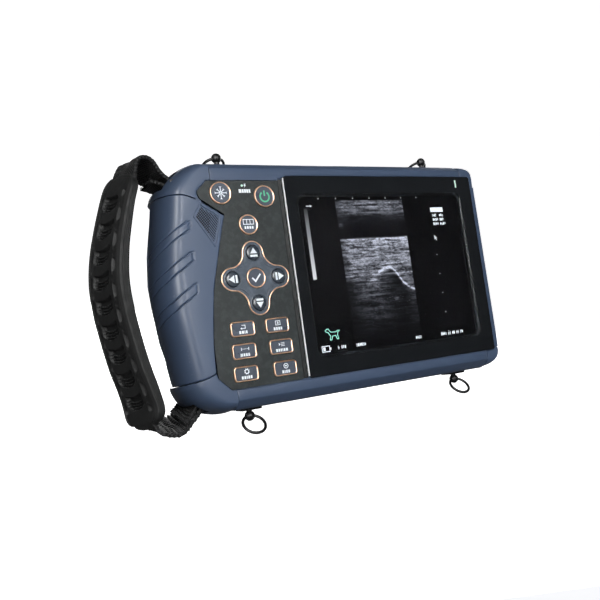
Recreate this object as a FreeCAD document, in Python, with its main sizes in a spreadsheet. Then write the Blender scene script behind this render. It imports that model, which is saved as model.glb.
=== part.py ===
import FreeCAD, Part
import Sketcher
import math
import os

from FreeCAD import Placement, Rotation, Vector

# Veterinary palm ultrasound scanner, upright, screen towards -Y, +Z up, +X to the right.
# Origin: centre of the flat back face, straight behind the centre of the display.
# Depths are measured from the front plane (the screen frame's front face) backwards;
# the front plane lies at Y = -thick, the back face at Y = 0.
# Outlines are lists of (X, Z) points unless they say otherwise.

doc = FreeCAD.newDocument("palm_scanner")

# alias, value, description
ROWS = [
    ("thick", 42.0, "overall thickness, front plane to back face"),
    ("part_line", 22.0, "depth of the parting line between casing halves"),
    ("wall", 2.5, "casing wall"),
    ("rear_wall", 3.8, "thickness of the rear casing's back wall"),
    ("gap", 0.1, "assembly gap between neighbouring pieces"),
    ("core_left", -115.8, "left side of the casing core"),
    ("core_right", 70.8, "right side of the casing core"),
    ("core_top", 55.9, "top of the casing core"),
    ("core_bottom", -56.9, "bottom of the casing core"),
    ("front_face", 1.5, "depth of the casing's front wall"),
    ("rail_top_z", 62.5, "top of the upper rail"),
    ("rail_bottom_z", -64.5, "bottom of the lower rail"),
    ("rail_left", -106.8, "left end of both rails"),
    ("rail_right", 60.8, "right end of both rails"),
    ("rail_depth", 39.0, "depth of the rails' back edge"),
    ("grip_left", -138.4, "leftmost point of the grip"),
    ("bumper_right", 73.8, "right side of the small bumpers"),
    ("frame_left", -64.9, "screen frame flange, left"),
    ("frame_right", 67.7, "screen frame flange, right"),
    ("frame_top", 54.4, "screen frame flange, top"),
    ("frame_bottom", -54.0, "screen frame flange, bottom"),
    ("frame_back", 9.0, "depth of the screen frame's rear edge"),
    ("view_wide", 114.0, "display opening width"),
    ("view_high", 86.0, "display opening height"),
    ("panel_wide", 118.0, "display panel width"),
    ("panel_high", 90.0, "display panel height"),
    ("overlay_front", 0.4, "depth of the keypad overlay's front face"),
    ("overlay_thick", 1.0, "keypad overlay thickness"),
    ("big_key_rad", 5.8, "large round key cap radius"),
    ("mid_key_rad", 5.25, "middle round key cap radius"),
    ("dome_key_rad", 3.9, "direction key cap radius"),
    ("key_wide", 13.2, "rectangular key cap width"),
    ("key_high", 7.6, "rectangular key cap height"),
    ("key_round", 1.8, "rectangular key corner radius"),
    ("key_clear", 0.25, "gap round each key"),
    ("key_flange", 0.8, "width of each key's retaining flange"),
    ("key_proud", 0.5, "how far a key stands in front of the front plane"),
    ("lug_left", -94.0, "left lanyard lugs"),
    ("lug_right", 47.0, "right lanyard lugs"),
    ("lug_depth", 18.0, "depth of the lanyard lugs"),
    ("lug_wide", 11.0, "lug base width"),
    ("lug_deep", 9.0, "lug base depth"),
    ("lug_thick", 1.4, "lug base thickness"),
    ("eye_z", 69.0, "height of the eye centres above and below the axis"),
    ("eye_rad", 2.75, "lug eye ball radius"),
    ("eye_hole", 1.5, "lug eye hole radius"),
    ("ring_rad", 6.0, "lanyard ring centre-line radius"),
    ("ring_wire", 0.8, "lanyard ring wire radius"),
    ("pad_near", 8.0, "depth of the hand pad's front edge"),
    ("pad_far", 36.0, "depth of the hand pad's back edge"),
    ("web_near", 9.5, "depth of the webbing's front edge"),
    ("web_far", 34.5, "depth of the webbing's back edge"),
    ("bar_rad", 1.5, "strap bar radius"),
    ("probe_bore", 5.5, "probe socket bore radius"),
    ("probe_z", 22.0, "probe socket height"),
    ("jack_bore", 2.75, "charging jack bore radius"),
    ("jack_z", -12.0, "charging jack height"),
    ("usb_z", -28.0, "USB port height"),
    ("port_depth", 30.6, "depth of the port centres on the right side"),
    ("door_left", -50.0, "battery door left"),
    ("door_right", 50.0, "battery door right"),
    ("door_top", -10.0, "battery door top"),
    ("door_bottom", -46.0, "battery door bottom"),
    ("door_face", 39.6, "depth of the battery door's inner face"),
    ("latch_travel", 2.5, "battery latch travel"),
    ("screw_head", 3.0, "casing screw head radius"),
    ("screw_shank", 1.4, "casing screw shank radius"),
    ("foot_rad", 5.0, "rubber foot radius"),
]


class Dim:
    """A length known both as a number and as a formula on the sheet."""

    def __init__(self, value, formula=None):
        self.value = float(value)
        self.formula = formula

    @staticmethod
    def of(size):
        return size if isinstance(size, Dim) else Dim(size)

    def text(self):
        return self.formula if self.formula is not None else repr(self.value)

    def _combine(self, other, sign, value):
        other = Dim.of(other)
        if self.formula is None and other.formula is None:
            return Dim(value)
        return Dim(value, "(%s %s %s)" % (self.text(), sign, other.text()))

    def __add__(self, other):
        return self._combine(other, "+", self.value + Dim.of(other).value)

    def __radd__(self, other):
        return Dim.of(other) + self

    def __sub__(self, other):
        return self._combine(other, "-", self.value - Dim.of(other).value)

    def __rsub__(self, other):
        return Dim.of(other) - self

    def __mul__(self, other):
        return self._combine(other, "*", self.value * Dim.of(other).value)

    def __truediv__(self, other):
        return self._combine(other, "/", self.value / Dim.of(other).value)

    def __neg__(self):
        return 0 - self


class Dims:
    """The driving dimensions, one attribute for each alias on the sheet."""


sheet = doc.addObject("Spreadsheet::Sheet", "dims")
dims = Dims()
for row, (alias, number, words) in enumerate(ROWS, 1):
    sheet.set("A%d" % row, words)
    sheet.set("B%d" % row, repr(number))
    sheet.setAlias("B%d" % row, alias)
    setattr(dims, alias, Dim(number, "dims." + alias))
doc.recompute()


def dep(depth):
    """Global Y of a depth behind the front plane."""
    return Dim.of(depth) - dims.thick


def bind(obj, path, size):
    """Tie a property to the sheet when the size comes from it."""
    size = Dim.of(size)
    if size.formula is not None:
        obj.setExpression(path, size.formula)


def set_size(obj, prop, size):
    setattr(obj, prop, Dim.of(size).value)
    bind(obj, prop, size)


# ---------------------------------------------------------------- sketches
made = [0]


def fresh(stem):
    """A new numbered object name."""
    made[0] += 1
    return "%s_%03d" % (stem, made[0])


def new_body(label):
    body = doc.addObject("PartDesign::Body", label)
    body.Label = label
    return body


def constrain(sketch, kind, refs, size):
    size = Dim.of(size)
    index = sketch.addConstraint(Sketcher.Constraint(kind, *refs, size.value))
    bind(sketch, "Constraints[%d]" % index, size)


def pin_point(sketch, geometry, point, x, y):
    constrain(sketch, "DistanceX", (-1, 1, geometry, point), x)
    constrain(sketch, "DistanceY", (-1, 1, geometry, point), y)


def add_line(sketch, x0, y0, x1, y1):
    return sketch.addGeometry(Part.LineSegment(Vector(x0, y0, 0), Vector(x1, y1, 0)), False)


def draw_polygon(sketch, points):
    values = [(Dim.of(x).value, Dim.of(y).value) for x, y in points]
    following = values[1:] + values[:1]
    lines = [add_line(sketch, *start, *end) for start, end in zip(values, following)]
    for line, after in zip(lines, lines[1:] + lines[:1]):
        sketch.addConstraint(Sketcher.Constraint("Coincident", line, 2, after, 1))
    for line, (x, y) in zip(lines, points):
        pin_point(sketch, line, 1, x, y)


def draw_circle(sketch, x, y, radius):
    centre = Vector(Dim.of(x).value, Dim.of(y).value, 0)
    outline = Part.Circle(centre, Vector(0, 0, 1), Dim.of(radius).value)
    geometry = sketch.addGeometry(outline, False)
    constrain(sketch, "Radius", (geometry,), radius)
    pin_point(sketch, geometry, 3, x, y)


def draw_round_rect(sketch, left, right, bottom, top, radius):
    x0, x1, y0, y1, r = (Dim.of(size).value for size in (left, right, bottom, top, radius))

    def corner(x, y, start, end):
        full = Part.Circle(Vector(x, y, 0), Vector(0, 0, 1), r)
        arc = Part.ArcOfCircle(full, math.radians(start), math.radians(end))
        return sketch.addGeometry(arc, False)

    # anticlockwise from the bottom line, lines and corners in turn
    loop = [
        add_line(sketch, x0 + r, y0, x1 - r, y0),
        corner(x1 - r, y0 + r, 270, 360),
        add_line(sketch, x1, y0 + r, x1, y1 - r),
        corner(x1 - r, y1 - r, 0, 90),
        add_line(sketch, x1 - r, y1, x0 + r, y1),
        corner(x0 + r, y1 - r, 90, 180),
        add_line(sketch, x0, y1 - r, x0, y0 + r),
        corner(x0 + r, y0 + r, 180, 270),
    ]
    lines, arcs = loop[0::2], loop[1::2]
    for piece, after in zip(loop, loop[1:] + loop[:1]):
        sketch.addConstraint(Sketcher.Constraint("Tangent", piece, 2, after, 1))
    for line in lines[0::2]:
        sketch.addConstraint(Sketcher.Constraint("Horizontal", line))
    for line in lines[1::2]:
        sketch.addConstraint(Sketcher.Constraint("Vertical", line))
    for arc in arcs[1:]:
        sketch.addConstraint(Sketcher.Constraint("Equal", arcs[0], arc))
    constrain(sketch, "Radius", (arcs[0],), radius)
    kinds = ("DistanceY", "DistanceX", "DistanceY", "DistanceX")
    for kind, line, size in zip(kinds, lines, (bottom, right, top, left)):
        constrain(sketch, kind, (-1, 1, line, 1), size)


# A shape is a drawing function with its arguments after the sketch.
def polygon(points):
    return draw_polygon, (points,)


def rect(left, right, bottom, top):
    return polygon([(left, bottom), (right, bottom), (right, top), (left, top)])


def circle(x, y, radius):
    return draw_circle, (x, y, radius)


def circles(centres, radius):
    return [circle(x, y, radius) for x, y in centres]


def round_rect(left, right, bottom, top, radius):
    return draw_round_rect, (left, right, bottom, top, radius)


def sides(x, y, width, height, margin=0):
    """Left, right, bottom and top of a rectangle about a centre, widened by a margin."""
    return (
        x - width / 2 - margin,
        x + width / 2 + margin,
        y - height / 2 - margin,
        y + height / 2 + margin,
    )


def sketch_on(body, plane, position, shapes):
    """A sketch of the shapes at a global coordinate of the plane's normal axis."""
    sketch = body.newObject("Sketcher::SketchObject", fresh("sketch"))
    for feature in body.Origin.OriginFeatures:
        if getattr(feature, "Role", "") == plane + "_Plane":
            sketch.AttachmentSupport = [(feature, "")]
    sketch.MapMode = "FlatFace"
    # the XZ plane's normal points to -Y
    offset = -position if plane == "XZ" else position
    sketch.AttachmentOffset = Placement(Vector(0, 0, offset.value), Rotation())
    bind(sketch, "AttachmentOffset.Base.z", offset)
    for draw, arguments in shapes:
        draw(sketch, *arguments)
    return sketch


# ---------------------------------------------------------------- solid features
def extrude(body, kind, sketch, length):
    feature = body.newObject("PartDesign::" + kind, fresh(kind.lower()))
    feature.Profile = sketch
    set_size(feature, "Length", length)
    body.Tip = feature
    return feature


def pad(body, plane, low, high, *shapes):
    """Add the shapes between global coordinates low < high of the plane's normal axis."""
    low, high = Dim.of(low), Dim.of(high)
    sketch = sketch_on(body, plane, high if plane == "XZ" else low, shapes)
    extrude(body, "Pad", sketch, high - low)


def body_volume(body):
    doc.recompute()
    return body.Shape.Volume


def pocket(body, plane, low, high, *shapes):
    """Remove the shapes between global coordinates low < high of the plane's normal axis."""
    low, high = Dim.of(low), Dim.of(high)
    before = body_volume(body)
    sketch = sketch_on(body, plane, low if plane == "XZ" else high, shapes)
    feature = extrude(body, "Pocket", sketch, high - low)
    if not body_volume(body) < before - 1e-6:
        raise RuntimeError("%s in %s removed nothing" % (feature.Name, body.Label))


def pad_depth(body, near, far, *shapes):
    """Add (X, Z) shapes between two depths."""
    pad(body, "XZ", dep(near), dep(far), *shapes)


def cut_depth(body, near, far, *shapes):
    """Remove (X, Z) shapes between two depths."""
    pocket(body, "XZ", dep(near), dep(far), *shapes)


def dress(body, kind, prop, size, test):
    """Fillet or chamfer the edges that pass the test."""
    doc.recompute()
    names = ["Edge%d" % i for i, edge in enumerate(body.Shape.Edges, 1) if test(edge)]
    if not names:
        raise RuntimeError("no edges to dress in " + body.Label)
    base = body.Tip
    feature = body.newObject("PartDesign::" + kind, fresh(kind.lower()))
    feature.Base = (base, names)
    set_size(feature, prop, size)
    body.Tip = feature
    doc.recompute()
    if "Invalid" in feature.State or "Error" in feature.State or body.Shape.isNull():
        raise RuntimeError("%s failed in %s" % (kind, body.Label))
    return feature


def fillet(body, radius, test):
    dress(body, "Fillet", "Radius", radius, test)


def runs_in_y(edge):
    """True when a straight edge runs front to back."""
    if len(edge.Vertexes) != 2 or not isinstance(edge.Curve, (Part.Line, Part.LineSegment)):
        return False
    start, end = (vertex.Point for vertex in edge.Vertexes)
    across = max(abs(start.x - end.x), abs(start.z - end.z))
    return abs(start.y - end.y) > 0.5 and across < 1e-4


def at_y(edge, y):
    return all(abs(vertex.Point.y - y) < 1e-3 for vertex in edge.Vertexes)


outputs = []


def done(obj, label=None):
    """Put a finished piece on the list of files to write."""
    if label:
        obj.Label = label
    outputs.append(obj)


# ---------------------------------------------------------------- casing
LEFT, RIGHT = dims.core_left, dims.core_right
TOP, BOTTOM = dims.core_top, dims.core_bottom
FRONT_RIM = dims.part_line - dims.gap / 2
REAR_RIM = dims.part_line + dims.gap / 2
FRONT_WALL_BACK = dims.front_face + dims.wall
REAR_WALL_FRONT = dims.thick - dims.rear_wall

CUT_OVER = 0.1  # how far a cut runs past the front wall
RAISED_FRONT = 0.3  # depth of the raised borders' front faces
SCREEN_OPENING = (-62.1, 64.5, -50.1, 50.6)
KEYPAD_OPENING = [
    (-109.5, 51.6), (-70.6, 51.6), (-70.6, -52.0), (-108.7, -52.0), (-109.4, -46.0),
    (-109.4, -4.0), (-107.5, 4.0), (-112.8, 20.0), (-112.8, 42.0),
]
REAR_OUTLINE = [
    (LEFT, BOTTOM), (RIGHT, BOTTOM), (RIGHT, TOP), (LEFT, TOP), (LEFT, 43.3),
    (-131.5, 43.9), (-134.5, 31.0), (-137.0, 18.0), (dims.grip_left, 3.0), (-137.6, -10.0),
    (-135.9, -26.0), (-133.6, -36.0), (-131.9, -46.6), (LEFT, -46.6),
]
SLOPE_BACK = 11.5  # width of the left slope across the back face
SLOPE_SIDE = 18.5  # width of the left slope up the side
CASE_CORNER = 1.5

GROOVE_INSETS = (0.8, 1.9)  # outer and inner sides of the seal groove in each rim
GROOVE_DEEP = 0.6
SEAL_INSETS = (0.9, 1.8)
SEAL_HALF = 0.55

POSTS = [(-111.4, -52.5), (-66.9, 51.5), (-66.9, -52.5), (66.4, 51.5), (66.4, -52.5)]
POST_RAD = 2.3
POST_ROOT = 0.5  # how far a post runs into its wall
POST_BORE_START = 8.0
SEAT_DEEP = 2.4
FEET = [(-100.0, 44.0), (-100.0, -44.0), (60.0, 40.0), (60.0, -40.0)]

DOOR_CLEAR = 0.2
BAY_INSET = 3.0
LATCH_HALF = 9.0
LATCH_Z = dims.door_top + 0.8
LATCH_HIGH = 4.0

PORT_Y = dep(dims.port_depth)
PORT_CLEAR = 0.2
PROBE_RAD = 7.3
JACK_RAD = 4.0
USB_SIZE = (6.0, 13.6)  # Y, Z
HINGE_X = RIGHT + 1.3
HINGE_Z = -38.6
EAR_INNER, EAR_OUTER = 5.2, 7.0  # hinge ear faces either side of the port centres
EAR_HALF = 0.8
EAR_RAD = 0.9
PIN_HALF, PIN_RAD = 5.3, 0.5


def core_rect(inset=0):
    return rect(LEFT + inset, RIGHT - inset, BOTTOM + inset, TOP - inset)


def core_ring(insets):
    return [core_rect(inset) for inset in insets]


def front_shell():
    body = new_body("front_shell")
    pad_depth(body, dims.front_face, FRONT_RIM, core_rect())
    # raised borders, at the right edge and above the keypad
    borders = (
        rect(RIGHT - 2.85, RIGHT, -52.8, 47.8),
        rect(dims.rail_left, -68.6, 52.1, 54.4),
    )
    for border in borders:
        pad_depth(body, RAISED_FRONT, dims.front_face + 0.5, border)
    cut_depth(body, FRONT_WALL_BACK, FRONT_RIM, core_rect(dims.wall))
    # openings for the screen module, and under the keypad overlay and speaker grille
    for opening in (rect(*SCREEN_OPENING), polygon(KEYPAD_OPENING)):
        cut_depth(body, dims.front_face - CUT_OVER, FRONT_WALL_BACK + CUT_OVER, opening)
    cut_depth(body, FRONT_RIM - GROOVE_DEEP, FRONT_RIM, *core_ring(GROOVE_INSETS))
    # screw posts inside the rim
    pad_depth(body, FRONT_WALL_BACK - POST_ROOT, FRONT_RIM, *circles(POSTS, POST_RAD))
    cut_depth(body, POST_BORE_START, FRONT_RIM, *circles(POSTS, dims.screw_shank + 0.05))

    def outer_corner(edge):
        x = edge.Vertexes[0].Point.x
        off_side = min(abs(x - RIGHT.value), abs(x - LEFT.value))
        return runs_in_y(edge) and off_side < 1e-3 and edge.Length > 15

    fillet(body, CASE_CORNER, outer_corner)
    done(body)


def slope_left_side(body):
    """Slope the left side away towards the back face."""

    def left_back_edge(edge):
        rightmost = max(vertex.Point.x for vertex in edge.Vertexes)
        return at_y(edge, 0.0) and rightmost < -131.0 and edge.Length > 4

    slope = dress(body, "Chamfer", "Size", SLOPE_BACK, left_back_edge)
    slope.ChamferType = "Two distances"
    slope.Size2 = SLOPE_SIDE
    doc.recompute()
    # corners at this depth on the side mean the two distances lie the wrong way round
    corners = [vertex.Point for vertex in body.Shape.Vertexes]
    if any(p.x < -136.0 and -15.0 < p.y < -5.0 for p in corners):
        slope.FlipDirection = True
        doc.recompute()
    if body.Shape.isNull() or not body.Shape.isValid():
        raise RuntimeError("the sloping left flank failed")


def rear_shell():
    body = new_body("rear_shell")
    pad_depth(body, REAR_RIM, dims.thick, polygon(REAR_OUTLINE))
    slope_left_side(body)
    cut_depth(body, REAR_RIM, REAR_WALL_FRONT, core_rect(dims.wall))
    # recess the battery door slides in, the bay opening in its floor, the latch recess
    door_recess = rect(
        dims.door_left - DOOR_CLEAR,
        dims.door_right + DOOR_CLEAR,
        BOTTOM - DOOR_CLEAR,
        dims.door_top + DOOR_CLEAR,
    )
    cut_depth(body, dims.door_face - 0.1, dims.thick, door_recess)
    bay = rect(
        dims.door_left + BAY_INSET,
        dims.door_right - BAY_INSET,
        dims.door_bottom + BAY_INSET,
        dims.door_top - BAY_INSET,
    )
    cut_depth(body, REAR_WALL_FRONT - 0.2, dims.door_face, bay)
    latch_recess = rect(
        -LATCH_HALF - DOOR_CLEAR,
        LATCH_HALF + DOOR_CLEAR,
        LATCH_Z - DOOR_CLEAR,
        LATCH_Z + LATCH_HIGH + DOOR_CLEAR + dims.latch_travel,
    )
    cut_depth(body, dims.door_face - 0.1, dims.thick, latch_recess)
    # openings for the three ports in the right side
    pocket(
        body, "YZ", RIGHT - dims.wall - 0.2, RIGHT,
        circle(PORT_Y, dims.probe_z, PROBE_RAD + PORT_CLEAR),
        circle(PORT_Y, dims.jack_z, JACK_RAD + PORT_CLEAR),
        rect(*sides(PORT_Y, dims.usb_z, *USB_SIZE, PORT_CLEAR)),
    )
    cut_depth(body, REAR_RIM, REAR_RIM + GROOVE_DEEP, *core_ring(GROOVE_INSETS))
    # screw posts, bored through with round seats for the heads
    pad_depth(body, REAR_RIM, REAR_WALL_FRONT + POST_ROOT, *circles(POSTS, POST_RAD))
    cut_depth(body, dims.part_line, dims.thick, *circles(POSTS, dims.screw_shank + 0.15))
    seats = circles(POSTS, dims.screw_head + 0.2)
    cut_depth(body, dims.thick - SEAT_DEEP, dims.thick, *seats)
    # ears and pin that carry the rubber port cover
    ears = (
        (PORT_Y - EAR_OUTER, PORT_Y - EAR_INNER),
        (PORT_Y + EAR_INNER, PORT_Y + EAR_OUTER),
    )
    for low, high in ears:
        root = rect(RIGHT - 0.2, HINGE_X, HINGE_Z - EAR_HALF, HINGE_Z + EAR_HALF)
        pad(body, "XZ", low, high, root)
        pad(body, "XZ", low, high, circle(HINGE_X, HINGE_Z, EAR_RAD))
    pin = circle(HINGE_X, HINGE_Z, PIN_RAD)
    pad(body, "XZ", PORT_Y - PIN_HALF, PORT_Y + PIN_HALF, pin)
    # seats for the rubber feet
    cut_depth(body, dims.thick - 1.0, dims.thick, *circles(FEET, dims.foot_rad + 0.15))
    done(body)


def case_seal():
    body = new_body("case_seal")
    near, far = dims.part_line - SEAL_HALF, dims.part_line + SEAL_HALF
    pad_depth(body, near, far, *core_ring(SEAL_INSETS))
    done(body)


# ---------------------------------------------------------------- grip
GRIP_BOTTOM, GRIP_TOP = -46.3, 43.1
GRIP_INNER = dims.grip_left + dims.wall
# (X, depth) section of the shell that wraps round the left side
GRIP_SECTION = [
    (-101.4, 0.3), (-108.0, -0.4), (-116.0, -1.0), (-123.0, 0.2), (-130.0, 4.5),
    (-135.4, 11.5), (dims.grip_left, 18.0), (dims.grip_left, FRONT_RIM),
    (GRIP_INNER, FRONT_RIM), (GRIP_INNER, 18.5), (-133.2, 12.8), (-128.4, 6.6),
    (-122.2, 2.7), (-116.0, 1.4), (-101.4, 1.4),
]
GRIP_CUT_FRONT = -3.0
# far depth of the cut and its outline
GRIP_CUTS = [
    # outside the bowed left side, upper and lower part
    (24.0, [
        (-131.8, 44.0), (-134.6, 31.0), (-137.0, 18.0),
        (-138.6, 3.0), (-140.5, 3.0), (-140.5, 44.0),
    ]),
    (24.0, [
        (-132.2, -47.0), (-133.8, -36.0), (-136.0, -26.0), (-137.7, -10.0),
        (-138.6, 3.0), (-140.5, 3.0), (-140.5, -47.0),
    ]),
    # along the keypad overlay's curved left side, then above it
    (6.0, [
        (-100.0, 44.0), (-101.9, 34.2), (-105.2, 23.0), (-112.4, -3.7),
        (-114.6, -17.8), (-116.2, -31.8), (-116.6, -47.0), (-100.0, -47.0),
    ]),
    (6.0, [(-101.9, 34.2), (-115.6, 42.2), (-115.6, 44.0), (-100.0, 44.0)]),
]

GRILLE = [(-114.0, 39.2), (-105.0, 33.4), (-105.0, 30.8), (-108.9, 19.3), (-117.6, 33.4)]
GRILLE_SEAT_SCALE = 1.04
GRILLE_SEAT_BACK = 1.9


def grip_cover():
    body = new_body("grip_cover")
    section = polygon([(x, dep(depth)) for x, depth in GRIP_SECTION])
    pad(body, "XY", GRIP_BOTTOM, GRIP_TOP, section)
    for far, outline in GRIP_CUTS:
        cut_depth(body, GRIP_CUT_FRONT, far, polygon(outline))
    # seat for the speaker grille: its outline enlarged about the mean of its corners
    mid_x = sum(x for x, z in GRILLE) / len(GRILLE)
    mid_z = sum(z for x, z in GRILLE) / len(GRILLE)
    scale = GRILLE_SEAT_SCALE
    seat = [(mid_x + (x - mid_x) * scale, mid_z + (z - mid_z) * scale) for x, z in GRILLE]
    cut_depth(body, GRIP_CUT_FRONT, GRILLE_SEAT_BACK, polygon(seat))
    done(body)


# ---------------------------------------------------------------- corner bumpers
BLOCK_DEPTHS = (1.3, 40.0)
FLANGE_DEPTHS = (0.2, 1.4)
NOTCH_MARGIN = 1.0  # beyond the hand pad's edges, front and back
BAR_TOP = (-124.2, 53.2)
BAR_BOTTOM = (-124.0, -56.4)
END_LEFT = dims.rail_left - dims.gap
END_RIGHT = dims.rail_right + dims.gap
SIDE_LEFT = LEFT - dims.gap
SIDE_RIGHT = RIGHT + dims.gap
OVER_TOP = TOP + dims.gap
UNDER_BOTTOM = BOTTOM - dims.gap
FAR_RIGHT = dims.bumper_right


def bumper(name, outer, block_inner, flange_inner, notch=None, bar=None):
    """Deep block behind a thin front flange; both share the outer outline."""
    body = new_body(name)
    pad_depth(body, *BLOCK_DEPTHS, polygon(outer + block_inner))
    pad_depth(body, *FLANGE_DEPTHS, polygon(outer + flange_inner))
    if notch:
        # room for the webbing round the bar, then the bar's holes in both cheeks
        near, far = dims.pad_near - NOTCH_MARGIN, dims.pad_far + NOTCH_MARGIN
        cut_depth(body, near, far, polygon(notch))
        bore = circle(*bar, dims.bar_rad + 0.05)
        cut_depth(body, dims.pad_near - 4.0, dims.pad_far + 3.2, bore)
    done(body)


def bumpers():
    bumper(
        "bumper_top_left",
        outer=[(END_LEFT, 62.5), (-118.0, 61.2), (-129.6, 52.6), (-132.2, 44.2)],
        block_inner=[(SIDE_LEFT, 43.4), (SIDE_LEFT, OVER_TOP), (END_LEFT, OVER_TOP)],
        flange_inner=[
            (-129.5, 44.9), (-121.7, 44.1), (-116.2, 43.4), (-115.3, 44.9),
            (-115.1, 46.6), (-109.5, 52.0), (END_LEFT, 52.0),
        ],
        notch=[
            (-119.5, 63.5), (-134.0, 56.5), (-134.0, 47.4),
            (-126.0, 46.6), (-117.4, 48.4), (-117.4, 57.5),
        ],
        bar=BAR_TOP,
    )
    bumper(
        "bumper_bottom_left",
        outer=[
            (END_LEFT, -64.5), (-118.0, -63.6), (-128.6, -57.4),
            (-132.3, -49.0), (-132.1, -48.0),
        ],
        block_inner=[
            (-131.0, -46.9), (SIDE_LEFT, -46.9),
            (SIDE_LEFT, UNDER_BOTTOM), (END_LEFT, UNDER_BOTTOM),
        ],
        flange_inner=[
            (-125.7, -47.5), (-117.2, -46.5), (-115.9, -47.6),
            (-109.7, -53.9), (END_LEFT, -53.9),
        ],
        notch=[
            (-119.5, -66.0), (-134.0, -62.0), (-134.0, -50.6),
            (-126.0, -49.8), (-117.4, -51.6), (-117.4, -59.5),
        ],
        bar=BAR_BOTTOM,
    )
    bumper(
        "bumper_top_right",
        outer=[
            (END_RIGHT, 62.6), (67.2, 61.8), (72.6, 57.2),
            (FAR_RIGHT, 51.0), (FAR_RIGHT - 0.8, 47.9),
        ],
        block_inner=[(SIDE_RIGHT, 47.9), (SIDE_RIGHT, OVER_TOP), (END_RIGHT, OVER_TOP)],
        flange_inner=[(67.9, 47.9), (67.9, 54.6), (END_RIGHT, 54.6)],
    )
    bumper(
        "bumper_bottom_right",
        outer=[
            (END_RIGHT, -64.6), (66.5, -63.8), (72.0, -59.2),
            (FAR_RIGHT, -55.5), (FAR_RIGHT, -52.9),
        ],
        block_inner=[
            (SIDE_RIGHT, -52.9), (SIDE_RIGHT, UNDER_BOTTOM), (END_RIGHT, UNDER_BOTTOM),
        ],
        flange_inner=[(67.9, -52.9), (67.9, -54.2), (END_RIGHT, -54.2)],
    )


# ---------------------------------------------------------------- top and bottom rails
# (depth, Z) sections
RAIL_TOP = [
    (0.3, 54.6), (0.3, 56.6), (1.6, 59.6), (7.0, dims.rail_top_z), (33.0, dims.rail_top_z),
    (dims.rail_depth, 58.0), (dims.rail_depth, OVER_TOP), (1.4, OVER_TOP), (1.4, 54.6),
]
RAIL_BOTTOM = [
    (0.3, -54.2), (0.3, -57.0), (2.6, -60.6),
    (8.0, dims.rail_bottom_z), (33.0, dims.rail_bottom_z),
    (dims.rail_depth, -60.0), (dims.rail_depth, UNDER_BOTTOM),
    (1.4, UNDER_BOTTOM), (1.4, -54.2),
]


def pad_section(body, left, right, section):
    """Add a (depth, Z) section between two X positions."""
    pad(body, "YZ", left, right, polygon([(dep(depth), z) for depth, z in section]))


def rails():
    for name, section in (("rail_top", RAIL_TOP), ("rail_bottom", RAIL_BOTTOM)):
        body = new_body(name)
        pad_section(body, dims.rail_left, dims.rail_right, section)
        done(body)


# ---------------------------------------------------------------- screen module
FLANGE_BACK = 1.4
FRAME_CORE = (-61.9, 64.3, -49.9, 50.4)
VIEW_CORNER = 4.0
WINDOW_MARGIN, WINDOW_CORNER = 1.4, 4.4
WINDOW_SEAT_MARGIN, WINDOW_SEAT_CORNER = 1.5, 4.5
LIGHT_SLOT = (55.45, 56.75, 47.6, 52.4)
LIGHT_WINDOW = (55.55, 56.65, 47.7, 52.3)


def view_sides(margin=0):
    return sides(0, 0, dims.view_wide, dims.view_high, margin)


def panel_rect(margin=0):
    return rect(*sides(0, 0, dims.panel_wide, dims.panel_high, margin))


def screen_frame():
    body = new_body("screen_frame")
    flange = (dims.frame_left, dims.frame_right, dims.frame_bottom, dims.frame_top)
    pad_depth(body, 0.0, FLANGE_BACK, round_rect(*flange, 1.5))
    pad_depth(body, FLANGE_BACK - 0.1, dims.frame_back, rect(*FRAME_CORE))
    cut_depth(body, 0.0, dims.frame_back, round_rect(*view_sides(), VIEW_CORNER))
    cut_depth(body, 2.6, dims.frame_back, panel_rect(0.3))
    # seat for the window, cut in two overlapping steps
    for near, far in ((0.4, 1.2), (0.0, 0.6)):
        seat = round_rect(*view_sides(WINDOW_SEAT_MARGIN), WINDOW_SEAT_CORNER)
        cut_depth(body, near, far, seat)
    cut_depth(body, 0.0, FLANGE_BACK, rect(*LIGHT_SLOT))
    done(body)


def screen_parts():
    body = new_body("screen_window")
    pad_depth(body, 0.15, 1.1, round_rect(*view_sides(WINDOW_MARGIN), WINDOW_CORNER))
    done(body)

    body = new_body("screen_gasket")
    pad_depth(body, 2.65, 3.25, panel_rect(), rect(*view_sides(0.3)))
    done(body)

    # display panel with a shallow recess in its back
    body = new_body("lcd_panel")
    pad_depth(body, 3.3, 7.8, panel_rect())
    cut_depth(body, 7.0, 7.8, rect(-50, 50, -36, 36))
    done(body)

    body = new_body("indicator_window")
    pad_depth(body, 0.05, 1.2, rect(*LIGHT_WINDOW))
    done(body)

    # narrow upright strip left of the screen frame
    body = new_body("bezel_trim")
    pad_depth(body, -0.1, 1.3, rect(-65.7, dims.frame_left - 0.1, -52.9, 53.2))
    done(body)


# ---------------------------------------------------------------- keypad
CROSS_X, CROSS_Z = -88.6, 0.8  # centre of the direction keys
CROSS_PITCH = 13.0
FLANGE = dims.key_flange
HALF_FLANGE = dims.key_flange * 0.5
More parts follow.
